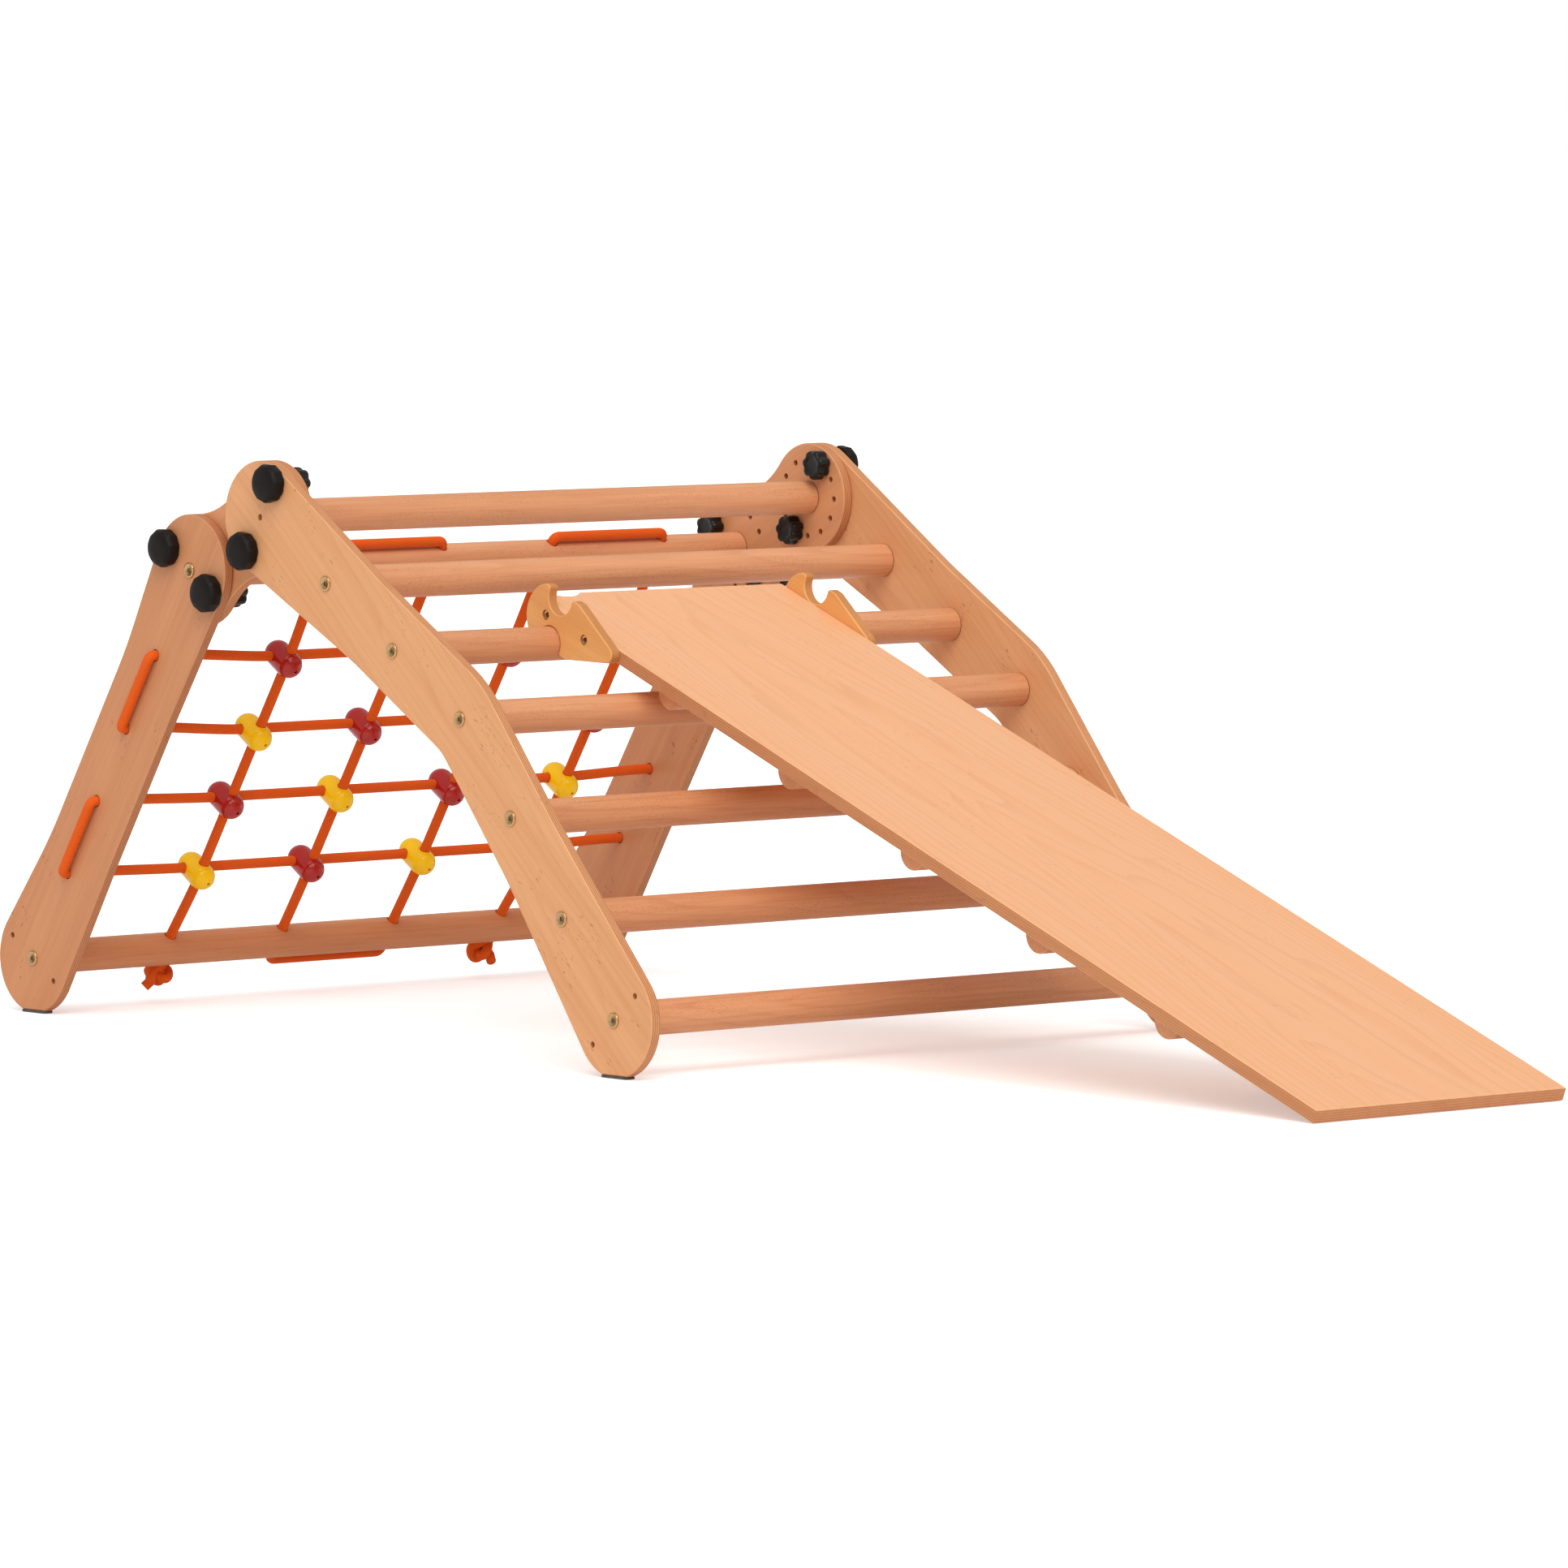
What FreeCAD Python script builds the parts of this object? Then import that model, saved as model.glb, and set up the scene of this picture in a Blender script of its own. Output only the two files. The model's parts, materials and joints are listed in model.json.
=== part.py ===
import FreeCAD, Part
import os
import Sketcher
from math import acos, asin, atan2, ceil, cos, degrees, hypot, pi, radians, sin, tan

# Climbing triangle with a rope net and a hook-on slide, in millimetres.
# X runs along the rungs, the slide goes down towards -Y, the net faces +Y and Z is up.
# The floor is Z = 0 and the origin is under the middle of the whole object.

dimensions = {
    # side panels and rungs
    "frame_width": 790, "ply": 12, "plate_gap": 0.3, "edge_round": 2, "rung_diameter": 36,
    "rung_pitch": 126, "front_slope": 31, "front_bend": 19.5, "front_half_width": 48,
    "front_waist": 220, "front_waist_shift": 2, "rear_waist": 160, "rear_waist_shift": 5, "waist_round": 600,
    "bend_outer_round": 150, "bend_inner_round": 60, "rear_reach": 505, "rear_half_width": 51,
    "lobe_radius": 59, "foot_drop": 56, "pad_thickness": 2.5,
    # hinge plates, index bolts and knobs
    "plate_slope": 27, "plate_reach": 132, "waist_radius": 100, "index_radius": 42, "index_count": 12,
    "bolt_diameter": 6, "bolt_hole": 6.6, "running_gap": 0.05, "knob_gap": 0.3, "knob_bore": 11,
    "knob_diameter": 41, "knob_height": 17, "knob_scallops": 9, "scallop_depth": 1.2,
    "star_diameter": 33, "star_height": 15, "star_lobes": 7, "star_depth": 3, "knob_round": 2,
    # rung fasteners
    "screw_head": 16, "head_height": 1.8, "socket_across": 5, "screw_reach": 27, "screw_hole": 6.5,
    "insert_diameter": 10, "insert_length": 15, "pivot_pin": 7, "pivot_recess": 3, "pivot_reach": 30,
    # rope net
    "rope_diameter": 11, "rope_hole": 13, "row_start": 109, "row_pitch": 94.5, "rope_cross": 13,
    "column_pitch": 156, "column_shift": 19, "stitch_lift": 7, "stitch_bend": 9, "knot_diameter": 28,
    "knot_height": 16.3, "knot_tail": 14,
    "connector_diameter": 29, "connector_length": 50, "connector_gap": 0.3, "connector_tip": 4,
    # slide
    "slide_length": 1250, "slide_width": 345, "slide_thickness": 15, "slide_overhang": 52,
    "seat_gap": 0.3, "scoop_radius": 28, "scoop_depth": 8.5, "scoop_inset": 41.5, "hook_thickness": 12, "hook_lobe": 34, "hook_shift": 12,
    "hook_height": 31, "hook_horn": 30, "hook_tail": 97, "tail_radius": 9, "notch_gap": 0.5,
    "hook_screw_up": 15, "hook_screw_down": 50, "hook_head": 11, "hook_sink": 5,
    "hook_screw": 5, "hook_screw_reach": 45, "hook_socket": 4, "cleat_radius": 19, "cleat_start": 168,
    "cleat_pitch": 199, "cleat_inset": 14,
}
rowCount = 4
columnCount = 4
# The net is slack: each line of connectors hangs aside of its rung holes, and each row below its panel holes.
columnAside = (-7, -11, -10, -3)
rowDrop = (8, 9, 4, 3)
cleatCount = 5
pieceSides = {"left": -1, "right": 1}

doc = FreeCAD.newDocument("climbing_slide")
sheet = doc.addObject("Spreadsheet::Sheet", "Dims")
for line, (alias, value) in enumerate(dimensions.items(), start=1):
    sheet.set(f"A{line}", alias)
    sheet.set(f"B{line}", str(value))
    sheet.setAlias(f"B{line}", alias)
doc.recompute()
nodes = []


def number(expression):
    """Value of a sheet expression, such as 3 * Dims.rung_pitch."""
    result = sheet.evalExpression(str(expression))
    return float(getattr(result, "Value", result))


def dim(alias):
    return float(sheet.get(alias))


# ---- places worked out from the sheet ----

pitch = dim("rung_pitch")
rungRadius = dim("rung_diameter") / 2
panelOuter = dim("frame_width") / 2
panelInner = panelOuter - dim("ply")
plateOuter = panelInner - dim("plate_gap")
plateInner = plateOuter - dim("ply")
upperSlope = radians(dim("front_slope"))
lowerSlope = upperSlope + radians(dim("front_bend"))
plateSlope = radians(dim("plate_slope"))
footHeight = dim("foot_drop") + dim("pad_thickness")
topHeight = footHeight + 3 * pitch * (sin(upperSlope) + sin(lowerSlope))
rearRise = topHeight - dim("plate_reach") * sin(plateSlope) - footHeight
rearSlope = asin(rearRise / dim("rear_reach"))  # both lower rungs end level

across = FreeCAD.Vector(1, 0, 0)
upperDown = FreeCAD.Vector(0, -cos(upperSlope), -sin(upperSlope))
lowerDown = FreeCAD.Vector(0, -cos(lowerSlope), -sin(lowerSlope))
plateAlong = FreeCAD.Vector(0, cos(plateSlope), -sin(plateSlope))
rearDown = FreeCAD.Vector(0, cos(rearSlope), -sin(rearSlope))
rearOut = FreeCAD.Vector(0, sin(rearSlope), cos(rearSlope))

# The slide lies on the third rung and its rounded lower edge touches the floor.
edge = dim("edge_round")
slideUnder = rungRadius + dim("seat_gap")
slideTop = slideUnder + dim("slide_thickness")
slideDown = dim("slide_length") - dim("slide_overhang")
restRise = topHeight - 2 * pitch * sin(upperSlope) - edge
restReach = hypot(slideDown - edge, slideUnder + edge)
slideSlope = asin(restRise / restReach) + atan2(slideUnder + edge, slideDown - edge)
slideUp = FreeCAD.Vector(0, cos(slideSlope), sin(slideSlope))
slideOut = FreeCAD.Vector(0, -sin(slideSlope), cos(slideSlope))

# The footprint runs from the slide's lower end to the back of the rear feet.
lowerEnd = (slideDown - edge) * cos(slideSlope) + (slideTop - edge) * sin(slideSlope) + edge
footprintFront = -2 * pitch * cos(upperSlope) - lowerEnd
footprintBack = dim("plate_reach") * cos(plateSlope) + dim("rear_reach") * cos(rearSlope) + dim("lobe_radius")
topAxis = FreeCAD.Vector(0, -(footprintFront + footprintBack) / 2, topHeight)
frontAxes = [topAxis + upperDown * (pitch * step) for step in range(4)]
frontAxes += [frontAxes[3] + lowerDown * (pitch * step) for step in range(1, 4)]
rearTopAxis = topAxis + plateAlong * dim("plate_reach")
rearBottomAxis = rearTopAxis + rearDown * dim("rear_reach")
slideAxis = frontAxes[2]
slideMiddle = slideUnder + dim("slide_thickness") / 2
hookScrewPlaces = (dim("hook_screw_up"), -dim("hook_screw_down"))


def facing(origin, along, outward):
    """Placement with local X along one direction and local Z along another."""
    return FreeCAD.Placement(origin, FreeCAD.Rotation(along, outward.cross(along), outward, "ZXY"))


def keep(feature, label):
    """Name a finished sub-part; the label is its file's name."""
    feature.Label = label
    nodes.append(feature)
    return feature


# ---- sketches and bodies ----

def newBody(label):
    body = doc.addObject("PartDesign::Body", "Body_" + label)
    return keep(body, label)


def newSketch(body, offset=None):
    """Sketch on the body's XY plane, raised by a sheet expression if one is given."""
    sketch = body.newObject("Sketcher::SketchObject", body.Name + "_Sketch")
    plane = next(item for item in body.Origin.OriginFeatures if item.Role == "XY_Plane")
    sketch.AttachmentSupport = [(plane, "")]
    sketch.MapMode = "FlatFace"
    if offset:
        sketch.setExpression("AttachmentOffset.Base.z", offset)
    return sketch


def place(sketch, geometry, point, x, y):
    """Hold one point of a sketch at a pair of sheet expressions."""
    for kind, expression in (("DistanceX", x), ("DistanceY", y)):
        value = number(expression)
        index = sketch.addConstraint(Sketcher.Constraint(kind, -1, 1, geometry, point, value))
        sketch.setExpression(f"Constraints[{index}]", str(expression))


def circles(sketch, rings):
    """Circles given as centre x, centre y and diameter, all sheet expressions."""
    for x, y, diameter in rings:
        centre = FreeCAD.Vector(number(x), number(y), 0)
        ring = Part.Circle(centre, FreeCAD.Vector(0, 0, 1), number(diameter) / 2)
        index = sketch.addGeometry(ring, False)
        place(sketch, index, 3, x, y)
        size = sketch.addConstraint(Sketcher.Constraint("Diameter", index, number(diameter)))
        sketch.setExpression(f"Constraints[{size}]", str(diameter))


def polygon(sketch, corners):
    """Closed outline through corners given as pairs of sheet expressions."""
    points = [FreeCAD.Vector(number(x), number(y), 0) for x, y in corners]
    count = len(points)
    for index in range(count):
        sketch.addGeometry(Part.LineSegment(points[index], points[(index + 1) % count]), False)
    for index in range(count):
        sketch.addConstraint(Sketcher.Constraint("Coincident", index, 2, (index + 1) % count, 1))
    for index, (x, y) in enumerate(corners):
        place(sketch, index, 1, x, y)


def beltOutline(sketch, discs):
    """Closed outline like a belt passed round discs in turn.

    Each disc is centre x, centre y and radius as sheet expressions, and 1 for a disc inside the belt
    or -1 for one that presses on it from outside.
    """
    count = len(discs)
    places = [(number(x), number(y), inside * number(radius)) for x, y, radius, inside in discs]
    headings = []
    for index, (x, y, radius) in enumerate(places):
        nextX, nextY, nextRadius = places[(index + 1) % count]
        lean = asin((radius - nextRadius) / hypot(nextX - x, nextY - y))
        headings.append(atan2(nextY - y, nextX - x) + lean)
    up = FreeCAD.Vector(0, 0, 1)
    for index, (x, y, radius) in enumerate(places):
        first = headings[index - 1] - pi / 2
        turn = (headings[index] - headings[index - 1]) % (2 * pi)
        if radius < 0:
            first, turn = headings[index] + pi / 2, 2 * pi - turn
        ring = Part.Circle(FreeCAD.Vector(x, y, 0), up, abs(radius))
        sketch.addGeometry(Part.ArcOfCircle(ring, first, first + turn), False)
    for index, heading in enumerate(headings):
        ends = [FreeCAD.Vector(x + radius * sin(heading), y - radius * cos(heading), 0)
                for x, y, radius in (places[index], places[(index + 1) % count])]
        sketch.addGeometry(Part.LineSegment(*ends), False)
    for index in range(count):
        after = (index + 1) % count
        leaves = 2 if discs[index][3] > 0 else 1
        meets = 1 if discs[after][3] > 0 else 2
        sketch.addConstraint(Sketcher.Constraint("Tangent", count + index, 1, index, leaves))
        sketch.addConstraint(Sketcher.Constraint("Tangent", count + index, 2, after, meets))
    for index, (x, y, radius, inside) in enumerate(discs):
        place(sketch, index, 3, x, y)
        size = sketch.addConstraint(Sketcher.Constraint("Radius", index, number(radius)))
        sketch.setExpression(f"Constraints[{size}]", str(radius))


def pad(body, sketch, length):
    feature = body.newObject("PartDesign::Pad", body.Name + "_Pad")
    feature.Profile = sketch
    feature.setExpression("Length", length)
    doc.recompute()
    return feature


def pocketThrough(body, sketch):
    """Cut a sketch right through the body both ways, and make sure that it removed something."""
    before = body.Shape.Volume
    feature = body.newObject("PartDesign::Pocket", body.Name + "_Pocket")
    feature.Profile = sketch
    feature.Type = "ThroughAll"
    feature.Midplane = True
    doc.recompute()
    if not body.Shape.Volume < before:
        raise RuntimeError(f"{feature.Name} cut nothing")
    return feature


def roundEdges(body, radius, wanted):
    """Fillet the edges of the body's last feature that pass a test."""
    base = body.Tip
    names = [f"Edge{i}" for i, each in enumerate(base.Shape.Edges, start=1) if wanted(each)]
    feature = body.newObject("PartDesign::Fillet", body.Name + "_Fillet")
    feature.Base = (base, names)
    feature.setExpression("Radius", radius)
    doc.recompute()
    if not names or "Invalid" in feature.State:
        raise RuntimeError(f"{feature.Name} did not round {len(names)} edges")
    return feature


def isUpright(each, x, y):
    """Is this edge parallel to local Z and at the place x, y?"""
    ends = [vertex.Point for vertex in each.Vertexes]
    return len(ends) == 2 and all(hypot(end.x - x, end.y - y) < 0.01 for end in ends)


def onFace(each, heights):
    """Does the whole edge lie at one of these local heights?"""
    box = each.BoundBox
    return any(abs(box.ZMin - z) < 1e-4 and abs(box.ZMax - z) < 1e-4 for z in heights)


def roundRims(body, thickness):
    """Ease both outlines of a flat sheet."""
    return roundEdges(body, "Dims.edge_round", lambda each: onFace(each, (0, thickness)))


# ---- plain solids ----

def cylinder(diameter, length, placement=None):
    """Cylinder from sheet expressions; local Z is its axis."""
    feature = doc.addObject("Part::Cylinder", "Cylinder")
    feature.setExpression("Radius", f"({diameter}) / 2")
    feature.setExpression("Height", length)
    feature.Placement = placement or FreeCAD.Placement()
    return feature


def cut(base, tools):
    feature = doc.addObject("Part::Cut", "Cut")
    feature.Base = base
    feature.Tool = tools[0] if len(tools) == 1 else fuse(tools)
    return feature


def fuse(parts):
    feature = doc.addObject("Part::MultiFuse", "Fuse")
    feature.Shapes = parts
    return feature


def group(parts, label):
    """Separate solids kept together as one sub-part."""
    feature = doc.addObject("Part::Compound", "Group")
    feature.Links = parts
    return keep(feature, label)


# ---- front and rear side panels ----

def footCut(body, x, y, downX, downY):
    """Flat foot square to the direction down, below the rung centre x, y."""
    reach = "2 * Dims.lobe_radius"
    corners = []
    for depth, side in (("Dims.foot_drop", 1), ("Dims.foot_drop", -1), (reach, -1), (reach, 1)):
        cornerX = f"({x}) + ({depth}) * ({downX}) + {side} * {reach} * ({downY})"
        cornerY = f"({y}) + ({depth}) * ({downY}) - {side} * {reach} * ({downX})"
        corners.append((cornerX, cornerY))
    sketch = newSketch(body)
    polygon(sketch, corners)
    pocketThrough(body, sketch)


def frontPanel(label, side):
    """Bent panel, narrow in the middle and round at both ends; local X runs down the upper leg."""
    bend = "Dims.front_bend"
    leg = "3 * Dims.rung_pitch"
    footX = f"{leg} + {leg} * cos({bend})"
    footY = f"{leg} * sin({bend})"
    front = "(Dims.front_half_width + Dims.front_waist_shift)"
    back = "(Dims.front_half_width - Dims.front_waist_shift)"

    def lower(along, aside):
        """Point measured along the lower leg from the bend, and aside of its middle."""
        return (f"{leg} + ({along}) * cos({bend}) - ({aside}) * sin({bend})",
                f"({along}) * sin({bend}) + ({aside}) * cos({bend})")

    frontWaist = f"-({front} + Dims.waist_round)"
    backWaist = f"{back} + Dims.waist_round"
    lowWaist = f"{leg} - Dims.front_waist"
    outer, inner = "Dims.bend_outer_round", "Dims.bend_inner_round"
    body = newBody(label)
    sketch = newSketch(body)
    beltOutline(sketch, [
        ("0", "0", "Dims.lobe_radius", 1),
        ("Dims.front_waist", frontWaist, "Dims.waist_round", -1),
        (f"{leg} + ({front} - {outer}) * tan({bend} / 2)", f"{outer} - {front}", outer, 1),
        (*lower(lowWaist, frontWaist), "Dims.waist_round", -1),
        (footX, footY, "Dims.lobe_radius", 1),
        (*lower(lowWaist, backWaist), "Dims.waist_round", -1),
        (f"{leg} - ({back} + {inner}) * tan({bend} / 2)", f"{back} + {inner}", inner, -1),
        ("Dims.front_waist", backWaist, "Dims.waist_round", -1),
    ])
    pad(body, sketch, "Dims.ply")
    footCut(body, footX, footY, "sin(Dims.front_slope)", "cos(Dims.front_slope)")
    roundRims(body, dim("ply"))
    holes = [("0", "0", "Dims.pivot_pin + 2 * Dims.running_gap")]
    for sign in (1, -1):
        holes.append(("0", f"{sign} * Dims.index_radius", "Dims.bolt_hole"))
        spareX = f"{footX} - {sign} * Dims.index_radius * sin({bend})"
        spareY = f"{footY} + {sign} * Dims.index_radius * cos({bend})"
        holes.append((spareX, spareY, "Dims.bolt_hole"))
    for step in (1, 2, 3):
        holes.append((f"{step} * Dims.rung_pitch", "0", "Dims.screw_hole"))
        lowerX = f"{leg} + {step} * Dims.rung_pitch * cos({bend})"
        holes.append((lowerX, f"{step} * Dims.rung_pitch * sin({bend})", "Dims.screw_hole"))
    sketch = newSketch(body)
    circles(sketch, holes)
    pocketThrough(body, sketch)
    body.Placement = facing(topAxis + across * (panelInner if side > 0 else -panelOuter), upperDown, across)


def rowPlace(row):
    return f"Dims.row_start + {row} * Dims.row_pitch"


def rearPanel(label, side):
    """Straight panel, narrow in the middle and round at both ends; local X runs down from the rear top rung."""
    reach = "Dims.rear_reach"
    frontWaist = "-(Dims.rear_half_width + Dims.rear_waist_shift + Dims.waist_round)"
    backWaist = "Dims.rear_half_width - Dims.rear_waist_shift + Dims.waist_round"
    body = newBody(label)
    sketch = newSketch(body)
    beltOutline(sketch, [
        ("0", "0", "Dims.lobe_radius", 1),
        ("Dims.rear_waist", frontWaist, "Dims.waist_round", -1),
        (f"{reach} - Dims.rear_waist", frontWaist, "Dims.waist_round", -1),
        (reach, "0", "Dims.lobe_radius", 1),
        (f"{reach} - Dims.rear_waist", backWaist, "Dims.waist_round", -1),
        ("Dims.rear_waist", backWaist, "Dims.waist_round", -1),
    ])
    pad(body, sketch, "Dims.ply")
    footCut(body, reach, "0", f"{sin(rearSlope)}", f"{-cos(rearSlope)}")
    roundRims(body, dim("ply"))
    holes = [("0", "0", "Dims.screw_hole"), (reach, "0", "Dims.screw_hole")]
    for sign in (1, -1):
        holes.append(("0", f"{sign} * Dims.index_radius", "Dims.bolt_hole"))
        holes.append((reach, f"{sign} * Dims.index_radius", "Dims.bolt_hole"))
    holes += [(rowPlace(row), "0", "Dims.rope_hole") for row in range(rowCount)]
    sketch = newSketch(body)
    circles(sketch, holes)
    pocketThrough(body, sketch)
    body.Placement = facing(rearTopAxis + across * (panelInner if side > 0 else -panelOuter), rearDown, across)


def hingePlate(label, side):
    """Waisted plate with a ring of index holes round each pivot; local X runs to the rear pivot."""
    lobe = dim("lobe_radius")
    waist = dim("waist_radius")
    reach = dim("plate_reach")
    rise = (((lobe + waist) ** 2) - (reach / 2) ** 2) ** 0.5
    lean = atan2(rise, reach / 2)
    body = newBody(label)
    sketch = newSketch(body)
    up = FreeCAD.Vector(0, 0, 1)
    arcs = [
        (FreeCAD.Vector(0, 0, 0), lobe, lean, 2 * pi - lean),
        (FreeCAD.Vector(reach / 2, -rise, 0), waist, lean, pi - lean),
        (FreeCAD.Vector(reach, 0, 0), lobe, lean - pi, pi - lean),
        (FreeCAD.Vector(reach / 2, rise, 0), waist, pi + lean, 2 * pi - lean),
    ]
    for centre, radius, start, finish in arcs:
        sketch.addGeometry(Part.ArcOfCircle(Part.Circle(centre, up, radius), start, finish), False)
    joins = ((0, 2, 1, 2), (1, 1, 2, 1), (2, 2, 3, 2), (3, 1, 0, 1))
    for first, firstEnd, second, secondEnd in joins:
        sketch.addConstraint(Sketcher.Constraint("Tangent", first, firstEnd, second, secondEnd))
    place(sketch, 0, 3, "0", "0")
    place(sketch, 2, 3, "Dims.plate_reach", "0")
    for index, alias in ((0, "lobe_radius"), (2, "lobe_radius"), (1, "waist_radius"), (3, "waist_radius")):
        size = sketch.addConstraint(Sketcher.Constraint("Radius", index, dim(alias)))
        sketch.setExpression(f"Constraints[{size}]", f"Dims.{alias}")
    pad(body, sketch, "Dims.ply")
    roundRims(body, dim("ply"))
    pinHole = "Dims.pivot_pin + 2 * Dims.running_gap"
    pivotHole = "Dims.bolt_diameter + 2 * Dims.running_gap"
    holes = [("0", "0", pinHole), ("Dims.plate_reach", "0", pivotHole)]
    # Each ring of holes lines up with its own panel's clamp bolts.
    turns = (("0", 90 + dim("front_slope") + dim("plate_slope")),
             ("Dims.plate_reach", 90 - degrees(rearSlope) + dim("plate_slope")))
    count = int(dim("index_count"))
    for centre, turn in turns:
        for step in range(count):
            angle = turn + 360 / count * step
            x = f"{centre} + Dims.index_radius * cos({angle})"
            holes.append((x, f"Dims.index_radius * sin({angle})", "Dims.bolt_hole"))
    sketch = newSketch(body)
    circles(sketch, holes)
    pocketThrough(body, sketch)
    body.Placement = facing(topAxis + across * (plateInner if side > 0 else -plateOuter), plateAlong, across)


# ---- rungs, screws, inserts and pins ----

def rung(label, centre, half, boreDiameter, boreDepth, ropeHoles=False):
    """Round rung with a bore in each end, and the net's holes if it carries the net."""
    stock = cylinder("Dims.rung_diameter", half + " * 2", facing(centre - across * number(half), rearOut, across))
    tools = []
    for side in (1, -1):
        end = facing(centre + across * (side * number(half)), rearOut, across * -side)
        tools.append(cylinder(boreDiameter, boreDepth, end))
    if ropeHoles:
        for column in range(columnCount):
            start = centre + across * columnX(column) - rearDown * (rungRadius + 1)
            tools.append(cylinder("Dims.rope_hole", "Dims.rung_diameter + 2", facing(start, across, rearDown)))
    return keep(cut(stock, tools), label)


def columnX(column):
    return (column - (columnCount - 1) / 2) * dim("column_pitch") + dim("column_shift")


def hexagon(diameter, depth, placement):
    """Hexagonal prism for a key socket."""
    feature = doc.addObject("Part::Prism", "Socket")
    feature.Polygon = 6
    feature.setExpression("Circumradius", f"{diameter} / sqrt(3)")
    feature.setExpression("Height", depth)
    feature.Placement = placement
    return feature


def rungScrew(axis, side, reach):
    """Flat furniture screw driven in from outside; its socket faces outwards."""
    face = axis + across * (side * panelOuter)
    top = face + across * (side * (dim("head_height") + 0.01))
    inward = across * -side
    head = cylinder("Dims.screw_head", "Dims.head_height", facing(face, rearOut, across * side))
    shank = cylinder("Dims.bolt_diameter", reach, facing(face + across * (side * 0.5), rearOut, inward))
    socket = hexagon("Dims.socket_across", "Dims.head_height + 2", facing(top, rearOut, inward))
    return cut(fuse([head, shank]), [socket])


def insert(axis, side, half):
    """Threaded sleeve let into a rung's end."""
    start = facing(axis + across * (side * (number(half) - 0.5)), rearOut, across * -side)
    sleeve = cylinder("Dims.insert_diameter", "Dims.insert_length", start)
    bore = cylinder("Dims.bolt_diameter + 2 * Dims.running_gap", "Dims.insert_length + 1", start)
    return cut(sleeve, [bore])


# ---- knobs ----

def knob(label, base, outward, diameter, height, count, depth):
    """Scalloped knob with a blind bore in its base; local Z points away from the panel."""
    body = newBody(label)
    sketch = newSketch(body)
    circles(sketch, [("0", "0", diameter)])
    pad(body, sketch, height)
    lobeCount = int(number(count))
    wide = number(diameter)
    scallop = wide * sin(pi / lobeCount) * 0.62
    sketch = newSketch(body)
    circles(sketch, [(f"({diameter}) / 2 + {scallop} - ({depth})", "0", str(2 * scallop))])
    notch = pocketThrough(body, sketch)
    pattern = body.newObject("PartDesign::PolarPattern", body.Name + "_Pattern")
    pattern.Originals = [notch]
    pattern.Axis = (sketch, ["N_Axis"])
    pattern.Angle = 360
    pattern.Occurrences = lobeCount
    body.Tip = pattern
    doc.recompute()
    top = number(height)
    roundEdges(body, "Dims.knob_round", lambda each: onFace(each, (top,)))
    bore = newSketch(body)
    circles(bore, [("0", "0", "Dims.bolt_diameter + 2 * Dims.running_gap")])
    before = body.Shape.Volume
    hole = body.newObject("PartDesign::Pocket", body.Name + "_Bore")
    hole.Profile = bore
    hole.Reversed = True
    hole.setExpression("Length", "Dims.knob_bore")
    doc.recompute()
    if not body.Shape.Volume < before:
        raise RuntimeError(f"{hole.Name} cut nothing")
    body.Placement = facing(base, rearOut, outward)


def indexBolt(axis, side):
    """Plain shank through knob, panel, hinge plate and star nut."""
    outer = panelOuter + dim("knob_gap") + dim("knob_bore") - 0.5
    inner = plateInner - dim("knob_gap") - dim("knob_bore") + 0.5
    start = axis + across * (side * inner)
    shank = cylinder("Dims.bolt_diameter", str(outer - inner), facing(start, rearOut, across * side))
    return shank


# ---- net ----

def netPoint(x, along, out):
    """Point of the net plane: x across, along down from the rear top rung, out away from the climber."""
    return rearTopAxis + across * x + rearDown * along + rearOut * out


def crossing(row, column, out):
    """Point of the slack net at one of its connectors."""
    return netPoint(columnX(column) + columnAside[column], number(rowPlace(row)) + rowDrop[row], out)


def gentleBend(setback, aside, span):
    """Radius of the two arcs that carry a rope aside within a span, each starting a setback from its corner."""
    return setback / tan(0.5 * atan2(aside, span - 2 * setback))


def tubeAlong(points, bends, label):
    """Round rope along straight runs joined by tangent arcs; bends holds one radius per inner point."""
    edges = []
    previous = points[0]
    length = 0
    for index in range(1, len(points) - 1):
        corner = points[index]
        into = (corner - points[index - 1]).normalize()
        outOf = (points[index + 1] - corner).normalize()
        turn = acos(max(-1, min(1, into.dot(outOf))))
        setback = bends[index - 1] * tan(turn / 2)
        start = corner - into * setback
        finish = corner + outOf * setback
        bisector = (outOf - into).normalize()
        centre = corner + bisector * (bends[index - 1] / cos(turn / 2))
        middle = centre - bisector * bends[index - 1]
        edges.append(Part.LineSegment(previous, start).toShape())
        edges.append(Part.Arc(start, middle, finish).toShape())
        length += (start - previous).Length + bends[index - 1] * turn
        previous = finish
    edges.append(Part.LineSegment(previous, points[-1]).toShape())
    length += (points[-1] - previous).Length
    spine = Part.Wire(edges)
    first = (points[1] - points[0]).normalize()
    section = Part.Wire([Part.Circle(points[0], first, dim("rope_diameter") / 2).toShape()])
    solid = spine.makePipeShell([section], True, False)
    expected = pi * (dim("rope_diameter") / 2) ** 2 * length
    print(f"{label}: length {length:.0f} mm, tightest bend {min(bends):.1f} mm, "
          f"volume over section x length {solid.Volume / expected:.4f}")
    feature = doc.addObject("Part::Feature", "Rope")
    feature.Shape = solid
    return keep(feature, label)


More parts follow.
